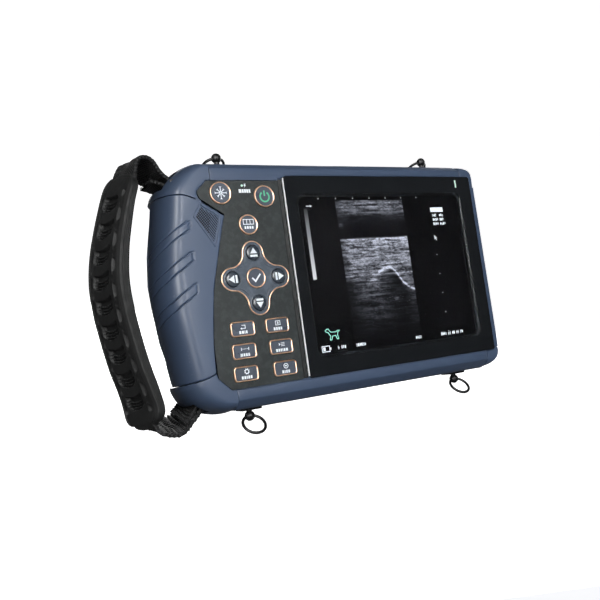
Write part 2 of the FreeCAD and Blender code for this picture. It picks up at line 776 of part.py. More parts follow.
# X, Z, cap radius, flange width
ROUND_KEYS = {
    "key_freeze": (-102.25, 45.3, dims.big_key_rad, HALF_FLANGE),
    "key_power": (-77.6, 43.4, dims.big_key_rad, HALF_FLANGE),
    "key_cine": (-88.95, 28.6, dims.mid_key_rad, HALF_FLANGE),
    "key_ok": (CROSS_X, CROSS_Z, dims.mid_key_rad, HALF_FLANGE),
    "key_up": (CROSS_X, CROSS_Z + CROSS_PITCH, dims.dome_key_rad, FLANGE),
    "key_down": (CROSS_X, CROSS_Z - CROSS_PITCH, dims.dome_key_rad, FLANGE),
    "key_left": (CROSS_X - CROSS_PITCH, CROSS_Z, dims.dome_key_rad, FLANGE),
    "key_right": (CROSS_X + CROSS_PITCH, CROSS_Z, dims.dome_key_rad, FLANGE),
}
CROSS_KEYS = ("key_ok", "key_up", "key_down", "key_left", "key_right")
RECT_KEYS = {
    "key_exit": (-99.8, -24.4),
    "key_measure": (-100.4, -35.6),
    "key_setup": (-101.0, -46.8),
    "key_save": (-80.2, -24.4),
    "key_review": (-79.5, -35.6),
    "key_disc": (-78.8, -46.8),
}
CAP_BACK = 1.6
FLANGE_SPAN = (1.55, 2.4)  # depths of the retaining flange
STEM_SPAN = (2.3, 3.2)  # depths of the stem
RECT_STEM_RAD = 2.2
CAP_FILLET = 0.4
LED_X, LED_Z = -89.6, 49.3
LED_RAD, LED_HOLE_RAD = 0.6, 0.75

OVERLAY = [
    (-109.2, 51.8), (-68.7, 51.8), (-68.7, -53.8), (-109.5, -53.8), (-115.7, -47.5),
    (-115.9, -44.9), (-115.9, -31.8), (-114.4, -17.8), (-112.2, -3.7), (-105.0, 23.0),
    (-101.5, 34.5), (-113.7, 42.6), (-114.6, 44.8), (-114.8, 46.3),
]
# half outline of one lobe of the cross: degrees from the lobe's axis, distance from centre
LOBE = [
    (0, 19.3), (4, 19.2), (8, 18.85), (12, 18.25), (16, 17.4), (19, 16.5), (22, 15.3),
    (24, 14.4), (26, 13.6), (29, 12.85), (32, 12.4), (36, 12.0), (40, 11.75), (45, 11.65),
]
MAT = [
    (-108.6, 51.0), (-71.3, 51.0), (-71.3, -48.2), (-107.2, -48.2), (-109.0, -46.4),
    (-109.0, -4.0), (-107.0, 4.0), (-107.0, 18.5), (-95.0, 18.5), (-95.0, 38.5),
    (-108.6, 38.5),
]


def key_rect(x, z, margin=0):
    outline = sides(x, z, dims.key_wide, dims.key_high, margin)
    return round_rect(*outline, dims.key_round + margin)


def round_key_hole(name):
    x, z, radius, _ = ROUND_KEYS[name]
    return circle(x, z, radius + dims.key_clear)


def keypad_overlay():
    body = new_body("keypad_overlay")
    near, far = dims.overlay_front, dims.overlay_front + dims.overlay_thick
    pad_depth(body, near, far, polygon(OVERLAY))
    holes = [round_key_hole(name) for name in ROUND_KEYS]
    holes += [key_rect(x, z, dims.key_clear) for x, z in RECT_KEYS.values()]
    holes.append(circle(LED_X, LED_Z, LED_HOLE_RAD))
    cut_depth(body, near, far, *holes)
    done(body)


def dpad_plate():
    """A cross of four round lobes in front of the overlay."""
    body = new_body("dpad_plate")
    near, far = 0.02, dims.overlay_front - 0.03
    whole_lobe = [(-angle, reach) for angle, reach in LOBE[:0:-1]] + LOBE[:-1]
    outline = []
    for quarter in range(4):
        for angle, reach in whole_lobe:
            turn = math.radians(90.0 * quarter + angle)
            outline.append((CROSS_X + reach * math.cos(turn), CROSS_Z + reach * math.sin(turn)))
    pad_depth(body, near, far, polygon(outline))
    cut_depth(body, near, far, *[round_key_hole(name) for name in CROSS_KEYS])
    done(body)


def key(name, cap, flange, stem):
    """Cap through the overlay, retaining flange behind it, short stem towards the mat."""
    body = new_body(name)
    pad_depth(body, -dims.key_proud, CAP_BACK, cap)
    pad_depth(body, *FLANGE_SPAN, flange)
    pad_depth(body, *STEM_SPAN, stem)
    front = dep(-dims.key_proud).value
    fillet(body, CAP_FILLET, lambda edge: at_y(edge, front))
    done(body)


def keys():
    for name, (x, z, radius, flange) in ROUND_KEYS.items():
        stem = circle(x, z, radius * 0.5)
        key(name, circle(x, z, radius), circle(x, z, radius + flange), stem)
    for name, (x, z) in RECT_KEYS.items():
        key(name, key_rect(x, z), key_rect(x, z, FLANGE), circle(x, z, RECT_STEM_RAD))


def keypad_inside():
    body = new_body("status_led")
    pad_depth(body, 0.35, 3.9, circle(LED_X, LED_Z, LED_RAD))
    done(body)

    # mat with a shallow dimple behind each round key
    body = new_body("key_mat")
    pad_depth(body, 4.15, 5.2, polygon(MAT))
    centres = [(x, z) for x, z, _, _ in ROUND_KEYS.values()]
    cut_depth(body, 4.15, 4.6, *circles(centres, 1.2))
    done(body)

    # board with two blocks on its back
    body = new_body("keypad_board")
    pad_depth(body, 5.3, 6.9, polygon(MAT))
    blocks = (rect(-92.0, -78.0, -6.0, 6.0), rect(-100.0, -90.0, -30.0, -22.0))
    pad_depth(body, 6.8, 9.2, *blocks)
    done(body)


# ---------------------------------------------------------------- speaker
GRILLE_DEPTHS = (0.1, 1.2)
GRILLE_HOLE_RAD = 0.7
GRILLE_PITCH = 2.3
GRILLE_START = (-115.0, 22.5)  # lower left hole of the grid
GRILLE_EDGE = 1.25  # least distance of a hole centre from the grille's edge
SPEAKER = (-104.5, 28.6)


def edge_distance(x, z, start, end):
    """Distance of a point from the line start-end, positive on the right-hand side."""
    run, rise = end[0] - start[0], end[1] - start[1]
    return ((x - start[0]) * rise - (z - start[1]) * run) / math.hypot(run, rise)


def speaker_grille():
    body = new_body("speaker_grille")
    pad_depth(body, *GRILLE_DEPTHS, polygon(GRILLE))
    # staggered holes, only where they lie well inside the outline
    edges = list(zip(GRILLE, GRILLE[1:] + GRILLE[:1]))
    centres = []
    for column in range(5):
        for row in range(7):
            stagger = GRILLE_PITCH / 2 if row % 2 else 0.0
            x = GRILLE_START[0] + GRILLE_PITCH * column + stagger
            z = GRILLE_START[1] + GRILLE_PITCH * row
            if all(edge_distance(x, z, *edge) >= GRILLE_EDGE for edge in edges):
                centres.append((x, z))
    cut_depth(body, *GRILLE_DEPTHS, *circles(centres, GRILLE_HOLE_RAD))
    done(body)


def speaker():
    body = new_body("speaker")
    pad_depth(body, 4.3, 6.5, circle(*SPEAKER, 8.3))
    pad_depth(body, 6.4, 11.0, circle(*SPEAKER, 5.0))
    cut_depth(body, 4.3, 5.3, circle(*SPEAKER, 7.0))
    done(body)


# ---------------------------------------------------------------- chassis, boards, battery
CHASSIS_DEPTHS = (10.6, 11.8)
# left, right, bottom, top of the blocks on each board's back
MAIN_BLOCKS = [
    (-24.0, 4.0, -12.0, 16.0), (14.0, 26.0, 0.0, 20.0),
    (14.0, 26.0, -24.0, -6.0), (-50.0, -36.0, 20.0, 34.0),
]
BEAM_BLOCKS = [(-40.0, -22.0, 12.0, 30.0), (-14.0, 4.0, 12.0, 30.0), (12.0, 30.0, 12.0, 30.0)]
# (depth, Z) section of the L-shaped cable behind the display
CABLE_SECTION = [
    (7.9, -24.0), (8.2, -24.0), (8.2, -10.3), (12.9, -10.3), (12.9, -10.0), (7.9, -10.0),
]
BATTERY_DEPTHS = (24.0, 38.0)
CONTACT_PITCH, CONTACT_WIDE = 6.0, 3.0
DOOR_RIDGE_PITCH = 3.0
LATCH_RIDGE_PITCH, LATCH_RIDGE_HIGH = 1.1, 0.6


def chassis_plate():
    body = new_body("chassis_plate")
    pad_depth(body, *CHASSIS_DEPTHS, rect(-62.0, 62.0, -48.0, 48.0))
    windows = [round_rect(left, left + 22.0, -30.0, 30.0, 3.0) for left in (-30.0, 8.0)]
    cut_depth(body, *CHASSIS_DEPTHS, *windows)
    done(body)


def board(name, near, outline, blocks, blocks_back):
    body = new_body(name)
    far = near + 1.6
    pad_depth(body, near, far, rect(*outline))
    pad_depth(body, far - 0.1, blocks_back, *[rect(*block) for block in blocks])
    done(body)


def boards():
    board("main_board", 13.0, (-60.0, 60.0, -44.0, 46.0), MAIN_BLOCKS, 16.6)
    board("beamformer_board", 19.0, (-48.0, 60.0, 4.0, 46.0), BEAM_BLOCKS, 22.4)


def display_cable():
    body = new_body("display_cable")
    pad_section(body, 12.0, 26.0, CABLE_SECTION)
    done(body)


def battery_pack():
    body = new_body("battery_pack")
    pad_depth(body, *BATTERY_DEPTHS, round_rect(-46.0, 46.0, -42.0, -14.0, 3.0))
    front, back = (dep(depth).value for depth in BATTERY_DEPTHS)
    fillet(body, 1.5, lambda edge: at_y(edge, back) or at_y(edge, front))
    done(body)


def battery_contacts():
    body = new_body("battery_contacts")
    for k in range(4):
        left = -12.0 + CONTACT_PITCH * k
        pad_depth(body, 22.6, 23.7, rect(left, left + CONTACT_WIDE, -30.0, -22.0))
        if k == 0:
            # the base block joins the contacts, so it follows the first one
            pad_depth(body, 21.4, 22.7, rect(-13.0, 10.0, -31.0, -21.0))
    done(body)


def battery_door():
    body = new_body("battery_door")
    outline = (dims.door_left, dims.door_right, dims.door_bottom, dims.door_top)
    pad_depth(body, dims.door_face, dims.thick - 0.2, round_rect(*outline, 3.0))
    # finger ridges near the upper edge
    bottoms = [-17.0 - DOOR_RIDGE_PITCH * k for k in range(4)]
    ridges = [rect(-20.0, 20.0, z, z + 1.0) for z in bottoms]
    pad_depth(body, dims.thick - 0.3, dims.thick - 0.05, *ridges)
    done(body)


def battery_latch():
    body = new_body("battery_latch")
    plate = round_rect(-LATCH_HALF, LATCH_HALF, LATCH_Z, LATCH_Z + LATCH_HIGH, 1.2)
    pad_depth(body, dims.door_face, dims.thick - 0.8, plate)
    bottoms = [LATCH_Z + (0.8 + LATCH_RIDGE_PITCH * k) for k in range(3)]
    ridges = [rect(-6.0, 6.0, z, z + LATCH_RIDGE_HIGH) for z in bottoms]
    pad_depth(body, dims.thick - 0.9, dims.thick - 0.2, *ridges)
    done(body)


# ---------------------------------------------------------------- ports on the right side
KNUCKLE_HALF, KNUCKLE_RAD, KNUCKLE_BORE = 5.0, 1.1, 0.55


def probe_socket():
    body = new_body("probe_socket")
    pad(body, "YZ", RIGHT - 9.0, RIGHT + 0.2, circle(PORT_Y, dims.probe_z, PROBE_RAD))
    pad(body, "YZ", RIGHT + 0.1, RIGHT + 1.6, circle(PORT_Y, dims.probe_z, 9.2))
    bore = circle(PORT_Y, dims.probe_z, dims.probe_bore)
    pocket(body, "YZ", RIGHT - 6.4, RIGHT + 1.6, bore)
    done(body)


def dc_jack():
    body = new_body("dc_jack")
    pad(body, "YZ", RIGHT - 11.0, RIGHT, circle(PORT_Y, dims.jack_z, JACK_RAD))
    pocket(body, "YZ", RIGHT - 9.0, RIGHT, circle(PORT_Y, dims.jack_z, dims.jack_bore))
    done(body)


def usb_port():
    body = new_body("usb_port")
    pad(body, "YZ", RIGHT - 12.0, RIGHT, rect(*sides(PORT_Y, dims.usb_z, *USB_SIZE)))
    pocket(body, "YZ", RIGHT - 10.0, RIGHT, rect(*sides(PORT_Y, dims.usb_z, 5.2, 12.6)))
    done(body)


def port_cover():
    body = new_body("port_cover")
    flap = round_rect(PORT_Y - 7.5, PORT_Y + 7.5, -37.2, -4.8, 2.5)
    low, high = PORT_Y - KNUCKLE_HALF, PORT_Y + KNUCKLE_HALF
    for shape in (flap, rect(low, high, HINGE_Z, -34.0)):
        pad(body, "YZ", RIGHT + 0.2, RIGHT + 2.0, shape)
    # hinge knuckle at the lower edge
    pad(body, "XZ", low, high, circle(HINGE_X, HINGE_Z, KNUCKLE_RAD))
    pocket(body, "XZ", low, high, circle(HINGE_X, HINGE_Z, KNUCKLE_BORE))
    done(body)


# ---------------------------------------------------------------- lanyard lugs and rings
LUG_Y = dep(dims.lug_depth)
# tag, X, side: 1 above the upper rail, -1 below the lower rail
LUGS = [
    ("top_left", dims.lug_left, 1),
    ("top_right", dims.lug_right, 1),
    ("bottom_left", dims.lug_left, -1),
    ("bottom_right", dims.lug_right, -1),
]
LUG_GAP = 0.05
NECK_RAD = 1.5
NECK_START = 0.5  # above the rail's surface
EYE_HOLE_LONG = 8.0
# rings hang from the eyes; degrees from +Y towards +Z about +X, by side
RING_ANGLES = {1: -24.0, -1: -135.0}
BACKWARDS = Rotation(Vector(1, 0, 0), -90)  # turns a primitive's axis from +Z to +Y


def primitive(kind, name, position, rotation=None, **sizes):
    obj = doc.addObject("Part::" + kind, name)
    for prop, size in sizes.items():
        set_size(obj, prop, size)
    base = [Dim.of(coordinate) for coordinate in position]
    obj.Placement = Placement(Vector(*[c.value for c in base]), rotation or Rotation())
    for axis, coordinate in zip("xyz", base):
        bind(obj, "Placement.Base." + axis, coordinate)
    return obj


def boolean(kind, name, base, tool):
    obj = doc.addObject("Part::" + kind, name)
    obj.Base = base
    obj.Tool = tool
    return obj


def compound(name, links):
    group = doc.addObject("Part::Compound", name)
    group.Links = links
    done(group, name)


def lug(tag, x, side):
    rail = dims.rail_top_z if side > 0 else -dims.rail_bottom_z

    def low_z(start, height=0):
        """Lower end of a piece that begins at a distance from the axis, on this side."""
        return start if side > 0 else -(start + height)

    base = primitive(
        "Box", "lug_base_" + tag,
        (
            x - dims.lug_wide / 2,
            LUG_Y - dims.lug_deep / 2,
            low_z(rail + LUG_GAP, dims.lug_thick),
        ),
        Length=dims.lug_wide, Width=dims.lug_deep, Height=dims.lug_thick,
    )
    neck_high = dims.eye_z - rail - 2.0
    neck = primitive(
        "Cylinder", "lug_neck_" + tag, (x, LUG_Y, low_z(rail + NECK_START, neck_high)),
        Radius=NECK_RAD, Height=neck_high,
    )
    eye_z = low_z(dims.eye_z)
    ball = primitive("Sphere", "lug_ball_" + tag, (x, LUG_Y, eye_z), Radius=dims.eye_rad)
    blank = doc.addObject("Part::MultiFuse", "lug_body_" + tag)
    blank.Shapes = [base, neck, ball]
    hole = primitive(
        "Cylinder", "lug_hole_" + tag, (x - EYE_HOLE_LONG / 2, LUG_Y, eye_z),
        Rotation(Vector(0, 1, 0), 90), Radius=dims.eye_hole, Height=EYE_HOLE_LONG,
    )
    return boolean("Cut", "lug_" + tag, blank, hole)


def ring(tag, x, side):
    angle = RING_ANGLES[side]
    turn = math.radians(angle)
    eye_z = dims.eye_z if side > 0 else -dims.eye_z
    y = LUG_Y + dims.ring_rad * math.cos(turn)
    z = eye_z + dims.ring_rad * math.sin(turn)
    torus = primitive(
        "Torus", "ring_body_" + tag, (x, y, z), Rotation(Vector(1, 0, 0), angle),
        Radius1=dims.ring_rad, Radius2=dims.ring_wire,
    )
    done(torus, "ring_" + tag)


def lanyard():
    compound("lanyard_lugs", [lug(*row) for row in LUGS])
    for row in LUGS:
        ring(*row)


# ---------------------------------------------------------------- hand strap
# the pad's left and right sides
PAD_OUTER = [
    (-143.6, 56.0), (-147.9, 44.5), (-151.6, 32.2), (-154.4, 20.0), (-156.1, 5.7),
    (-155.4, -8.8), (-154.0, -18.5), (-152.4, -28.2), (-150.4, -38.0), (-147.7, -48.0),
    (-146.2, -57.0), (-147.2, -66.0),
]
PAD_INNER = [
    (-142.9, -66.0), (-142.0, -57.0), (-142.8, -48.7), (-145.2, -38.7), (-147.3, -28.8),
    (-148.9, -19.0), (-150.2, -9.2), (-151.0, 5.4), (-149.4, 20.0), (-146.8, 32.2),
    (-143.6, 44.5), (-139.8, 55.0),
]
PAD_LEAN = 7.0  # how much further out the pad's back edge stands
# paths of the webbing from the pad's end to the bar
WEB_TOP = [
    (-140.9, 56.5), (-140.7, 59.6), (-139.6, 63.2), (-137.9, 65.3), (-135.2, 65.9),
    (-132.9, 65.3), (-130.9, 63.8), (-128.6, 60.4), (-125.9, 57.6), (-123.2, 56.4),
    (-121.4, 54.6), (-121.4, 52.6), (-122.4, 50.6),
]
WEB_BOTTOM = [
    (-143.4, -67.6), (-140.9, -69.6), (-137.8, -70.8), (-134.7, -71.2), (-131.9, -70.2),
    (-129.3, -68.6), (-126.2, -65.4), (-123.4, -62.0), (-121.0, -58.8), (-120.7, -56.4),
    (-121.8, -53.9),
]
# outward shift of the back edge at the first points of a path; none after them
WEB_LEAN = [PAD_LEAN, 6.6, 5.6, 4.2, 2.8, 1.6, 0.8, 0.2]
WEB_THICK = 1.6
BAR_FRONT, BAR_BACK = 3.7, 2.9  # how far the bars run past the pad's edges


def loft_between(name, label, near, far, front, back):
    """A ruled solid between two outlines with equal corner counts, one at each depth."""
    rims = []
    for tag, depth, points in (("near", near, front), ("far", far, back)):
        rim = doc.addObject("Part::Polygon", name + "_" + tag)
        rim.Nodes = [Vector(x, dep(depth).value, z) for x, z in points]
        rim.Close = True
        rims.append(rim)
    loft = doc.addObject("Part::Loft", name + "_solid")
    loft.Sections = rims
    loft.Solid = True
    loft.Ruled = True
    doc.recompute()
    if loft.Shape.isNull() or not loft.Shape.isValid() or len(loft.Shape.Solids) != 1:
        raise RuntimeError("%s failed" % name)
    done(loft, label)


def hand_pad():
    front = PAD_OUTER + PAD_INNER
    back = [(x - PAD_LEAN, z) for x, z in front]
    loft_between("pad", "hand_pad", dims.pad_near, dims.pad_far, front, back)


def band(path):
    """Closed outline of the webbing's thickness, to the left of a path."""
    offset = []
    for i, (x, z) in enumerate(path):
        before = path[max(i - 1, 0)]
        after = path[min(i + 1, len(path) - 1)]
        dx, dz = after[0] - before[0], after[1] - before[1]
        reach = math.hypot(dx, dz)
        offset.append((x - dz / reach * WEB_THICK, z + dx / reach * WEB_THICK))
    return path + offset[::-1]


def lean(path):
    """The back edge follows the pad's lean at the pad and the casing at the bar."""
    shifts = WEB_LEAN + [0.0] * (len(path) - len(WEB_LEAN))
    return [(x - shift, z) for (x, z), shift in zip(path, shifts)]


def webbing():
    # the lower path is reversed so that its left side faces the same way
    webs = (
        ("top", WEB_TOP, lean(WEB_TOP)),
        ("bottom", WEB_BOTTOM[::-1], lean(WEB_BOTTOM)[::-1]),
    )
    near, far = dims.web_near, dims.web_far
    for tag, front, back in webs:
        loft_between("web_" + tag, "strap_webbing_" + tag, near, far, band(front), band(back))


def strap_bars():
    bars = []
    for tag, (x, z) in (("top", BAR_TOP), ("bottom", BAR_BOTTOM)):
        bar = primitive(
            "Cylinder", "bar_" + tag, (x, dep(dims.pad_near - BAR_FRONT), z), BACKWARDS,
            Radius=dims.bar_rad,
            Height=dims.pad_far - dims.pad_near + (BAR_FRONT + BAR_BACK),
        )
        bars.append(bar)
    compound("strap_bars", bars)


# ---------------------------------------------------------------- fasteners and feet
# front end (Y) and length of each part of a screw
HEAD_Y, HEAD_LONG = -2.3, 1.7
SHANK_Y, SHANK_LONG = -28.0, 26.0
DRIVE_Y, DRIVE_LONG = -1.4, 1.2
DRIVE_RAD = 1.3
FOOT_HIGH = 0.95


def screw(i, x, z):
    """Countersunk screw with a hexagonal drive."""
    head = primitive(
        "Cone", "screw_head_%d" % i, (x, HEAD_Y, z), BACKWARDS,
        Radius1=dims.screw_shank, Radius2=dims.screw_head, Height=HEAD_LONG,
    )
    shank = primitive(
        "Cylinder", "screw_shank_%d" % i, (x, SHANK_Y, z), BACKWARDS,
        Radius=dims.screw_shank - 0.1, Height=SHANK_LONG,
    )
    drive = primitive(
        "Prism", "screw_drive_%d" % i, (x, DRIVE_Y, z), BACKWARDS,
        Circumradius=DRIVE_RAD, Height=DRIVE_LONG,
    )
    drive.Polygon = 6
    blank = boolean("Fuse", "screw_blank_%d" % i, head, shank)
    return boolean("Cut", "screw_%d" % i, blank, drive)


def foot(i, x, z):
    return primitive(
        "Cylinder", "foot_%d" % i, (x, -FOOT_HIGH, z), BACKWARDS,
        Radius=dims.foot_rad, Height=FOOT_HIGH,
    )


def fasteners():
    compound("case_screws", [screw(i, x, z) for i, (x, z) in enumerate(POSTS)])
    compound("rear_feet", [foot(i, x, z) for i, (x, z) in enumerate(FEET)])


# ---------------------------------------------------------------- build, check and write
BUILDERS = [
    front_shell, rear_shell, case_seal, grip_cover, bumpers, rails,
    screen_frame, screen_parts, keypad_overlay, dpad_plate, keys, keypad_inside,
    speaker_grille, speaker, chassis_plate, boards, display_cable,
    battery_pack, battery_contacts, battery_door, battery_latch,
    probe_socket, dc_jack, usb_port, port_cover,
    lanyard, hand_pad, webbing, strap_bars, fasteners,
]
for build in BUILDERS:
    build()

doc.recompute()
for obj in doc.Objects:
    if "Invalid" in obj.State or "Error" in obj.State:
        raise RuntimeError("%s (%s) is in state %s" % (obj.Name, obj.Label, obj.State))
if len({obj.Label for obj in outputs}) != len(outputs):
    raise RuntimeError("two sub-parts share a label")
for obj in outputs:
    if obj.Shape.isNull() or not obj.Shape.isValid() or not obj.Shape.Solids:
        raise RuntimeError(obj.Label + " has no valid solid")

os.makedirs("parts", exist_ok=True)
for obj in outputs:
    obj.Shape.exportStep("parts/%s.step" % obj.Label)
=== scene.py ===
# Portable scanner with a screen, a keypad and a padded hand strap. It stands upright in the XZ
# plane: the screen faces -Y, +Z is up and the strap is on the -X side, the left as seen from
# the front. The casing's back face is at Y = 0. Unless a line says otherwise, sizes are in
# millimetres and points are (x, depth, z), with depth counted backwards from the front plane.
import math

import bmesh
import bpy
import numpy as np
from mathutils import Matrix, Vector


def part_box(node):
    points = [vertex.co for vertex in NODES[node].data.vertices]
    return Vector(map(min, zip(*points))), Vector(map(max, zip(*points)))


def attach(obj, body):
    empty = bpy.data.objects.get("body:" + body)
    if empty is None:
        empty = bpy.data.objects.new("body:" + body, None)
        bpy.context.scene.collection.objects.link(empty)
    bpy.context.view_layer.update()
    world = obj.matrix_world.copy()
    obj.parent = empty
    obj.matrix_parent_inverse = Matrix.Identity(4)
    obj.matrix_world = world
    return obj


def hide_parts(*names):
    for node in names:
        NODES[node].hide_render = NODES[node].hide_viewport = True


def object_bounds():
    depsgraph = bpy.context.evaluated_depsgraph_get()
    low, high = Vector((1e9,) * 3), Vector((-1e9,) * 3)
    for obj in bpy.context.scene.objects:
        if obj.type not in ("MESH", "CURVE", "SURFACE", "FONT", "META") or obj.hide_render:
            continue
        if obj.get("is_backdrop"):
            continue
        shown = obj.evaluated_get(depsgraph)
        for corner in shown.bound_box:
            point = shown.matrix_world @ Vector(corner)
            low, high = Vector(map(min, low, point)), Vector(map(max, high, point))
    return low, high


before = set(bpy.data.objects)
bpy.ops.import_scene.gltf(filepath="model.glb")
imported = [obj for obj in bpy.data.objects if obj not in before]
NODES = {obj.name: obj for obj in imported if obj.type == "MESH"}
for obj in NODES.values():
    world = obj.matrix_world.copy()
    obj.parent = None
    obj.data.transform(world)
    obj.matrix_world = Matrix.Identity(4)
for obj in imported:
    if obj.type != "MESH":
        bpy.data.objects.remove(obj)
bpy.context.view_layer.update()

BODY = "housing"
CASING_DEPTH = -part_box("screen_frame")[0].y * 1000.0


def centre_mm(node):
    """Centre of a CAD piece as (x, z)."""
    low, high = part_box(node)
    return (low.x + high.x) * 500.0, (low.z + high.z) * 500.0


# ------------------------------------------------------------------ node materials
class Shader:
    """A Principled material, with short calls that add nodes and return their outputs."""

    def __init__(self, name):
        self.material = bpy.data.materials.new(name)
        self.material.use_nodes = True
        self.tree = self.material.node_tree

    def fill(self, socket, value):
        """Link a node output to a socket, or set a plain number, vector or RGB colour."""
        if isinstance(value, bpy.types.NodeSocket):
            self.tree.links.new(value, socket)
        elif socket.type == "RGBA":
            socket.default_value = (*value, 1.0)
        else:
            socket.default_value = value

    def node(self, kind, **inputs):
        node = self.tree.nodes.new("ShaderNode" + kind)
        for name, value in inputs.items():
            self.fill(node.inputs[name], value)
        return node

    def surface(self, **values):
        """Feed the Principled inputs (base_color is "Base Color") and return the material."""
        inputs = self.tree.nodes["Principled BSDF"].inputs
        for name, value in values.items():
            self.fill(inputs[name.replace("_", " ").title().replace("Ior", "IOR")], value)
        return self.material

    def coords(self):
        return self.node("TexCoord").outputs["Object"]

    def pointiness(self):
        return self.node("NewGeometry").outputs["Pointiness"]

    def stretched(self, coords, scale):
        return self.node("Mapping", Scale=scale, Vector=coords).outputs["Vector"]

    def split(self, vector):
        return self.node("SeparateXYZ", Vector=vector).outputs

    def noise(self, coords, scale, detail=3.0, roughness=0.5):
        node = self.node("TexNoise", Scale=scale, Detail=detail, Roughness=roughness, Vector=coords)
        return node.outputs["Fac"]

    def voronoi(self, coords, scale, feature="F1"):
        node = self.node("TexVoronoi", Scale=scale, Vector=coords)
        node.feature = feature
        return node.outputs["Distance"]

    def ramp(self, factor, *stops):
        """Colour ramp; each stop is (position, grey level or RGB colour)."""
        node = self.node("ValToRGB", Fac=factor)
        elements = node.color_ramp.elements
        while len(elements) < len(stops):
            elements.new(0.5)
        for i, (position, colour) in enumerate(stops):
            rgb = colour if isinstance(colour, tuple) else (colour,) * 3
            elements[i].position = position
            elements[i].color = (*rgb, 1.0)
        return node.outputs["Color"]

    def patches(self, coords, low, high, **noise):
        """Noise through a ramp; low and high are stops (noise value, level or colour)."""
        return self.ramp(self.noise(coords, **noise), low, high)

    def math(self, operation, first, second=0.0):
        node = self.node("Math")
        node.operation = operation
        self.fill(node.inputs[0], first)
        self.fill(node.inputs[1], second)
        return node.outputs[0]

    def times(self, first, second):
        return self.math("MULTIPLY", first, second)

    def plus(self, first, second):
        return self.math("ADD", first, second)

    def mix(self, factor, first, second, blend="MIX"):
        """Colour mix; sockets 0, 6 and 7 are the factor and the two colours, output 2 the result."""
        node = self.node("Mix")
        node.data_type = "RGBA"
        node.blend_type = blend
        for socket, value in ((0, factor), (6, first), (7, second)):
            self.fill(node.inputs[socket], value)
        return node.outputs[2]

    def bump(self, height, strength, distance):
        """Surface relief; distance is in metres."""
        node = self.node("Bump", Strength=strength, Distance=distance, Height=height)
        return node.outputs["Normal"]


def shade(colour, factor, lift=0.0):
    return tuple(min(1.0, c * factor + lift) for c in colour)


def moulded(name, colour, roughness=0.42, specular=0.5, grain=2600.0, grain_depth=0.00004,
            wear=(0.26, 0.31, 0.42), wear_amount=0.14, vary=0.02):
    """Moulded plastic: fine grain, slight colour drift, rubbed edges, painted shade in creases."""
    s = Shader(name)
    coords = s.coords()
    drift = s.patches(coords, (0.3, shade(colour, 1.0 - vary)),
                      (0.7, shade(colour, 1.0 + vary, lift=0.0012)), scale=45.0, detail=4.0)
    pointiness = s.pointiness()
    edge = s.ramp(pointiness, (0.515, 0.0), (0.56, 1.0))
    scuff = s.patches(coords, (0.46, 0.0), (0.62, 1.0), scale=320.0, detail=5.0, roughness=0.65)
    worn = s.times(s.times(edge, scuff), wear_amount)
    # painted shade: the colour is darkened in creases, found from pointiness
    crease_shade = s.ramp(pointiness, (0.42, 1.0), (0.49, 0.0))
    base = s.mix(worn, drift, wear)
    base = s.mix(s.times(crease_shade, 0.55), base, shade(colour, 0.25))
    gloss = s.patches(coords, (0.3, roughness - 0.07), (0.75, roughness + 0.09),
                      scale=90.0, detail=5.0, roughness=0.6)
    relief = s.plus(s.noise(coords, scale=grain, detail=2.0),
                    s.times(s.voronoi(coords, scale=grain * 0.6), 0.6))
    return s.surface(base_color=base, roughness=gloss, specular_ior_level=specular,
                     normal=s.bump(relief, strength=0.35, distance=grain_depth))


def rubber(name, colour, roughness=0.62, specular=0.25):
    """Matt rubber with dusty patches and a painted highlight on its edges."""
    s = Shader(name)
    coords = s.coords()
    dust = s.patches(coords, (0.42, 0.0), (0.8, 1.0), scale=150.0, detail=6.0, roughness=0.7)
    base = s.mix(s.times(dust, 0.5), colour, shade(colour, 1.5, lift=0.0018))
    # painted highlight: edges found from pointiness are made paler
    edge = s.ramp(s.pointiness(), (0.52, 0.0), (0.6, 1.0))
    base = s.mix(s.times(edge, 0.5), base, shade(colour, 3.0, lift=0.026))
    gloss = s.patches(coords, (0.3, roughness - 0.1), (0.7, roughness + 0.1),
                      scale=240.0, detail=4.0)
    grain = 1900.0
    relief = s.plus(s.noise(coords, scale=grain), s.times(s.voronoi(coords, scale=grain * 0.5), 0.8))
    return s.surface(base_color=base, roughness=gloss, specular_ior_level=specular,
                     normal=s.bump(relief, strength=0.5, distance=0.00006),
                     sheen_weight=0.03, sheen_roughness=0.5)


def glossy(name, colour, roughness, specular=0.6, coat=0.5):
    """Smooth coated plastic with faint smears."""
    s = Shader(name)
    coords = s.coords()
    base = s.patches(coords, (0.3, shade(colour, 0.85)), (0.7, shade(colour, 1.15, lift=0.001)),
                     scale=60.0)
    smear = s.patches(s.stretched(coords, (1.0, 1.0, 3.0)), (0.35, roughness),
                      (0.8, roughness + 0.1), scale=70.0, detail=6.0, roughness=0.7)
    ripple = s.noise(coords, scale=220.0, detail=2.0)
    return s.surface(base_color=base, roughness=smear, specular_ior_level=specular,
                     normal=s.bump(ripple, strength=0.04, distance=0.0001),
                     coat_weight=coat, coat_roughness=0.06)


def metal(name, colour, roughness, brush=(1.0, 1.0, 1.0), scale=160.0, metallic=1.0):
    """Bare metal; brush stretches the streaks along an axis."""
    s = Shader(name)
    streak = s.noise(s.stretched(s.coords(), brush), scale=scale, detail=6.0, roughness=0.7)
    return s.surface(
        base_color=s.ramp(streak, (0.25, shade(colour, 0.78)), (0.75, shade(colour, 1.1))),
        roughness=s.ramp(streak, (0.2, roughness * 0.7), (0.8, roughness * 1.4)),
        metallic=metallic, normal=s.bump(streak, strength=0.25, distance=0.00002))


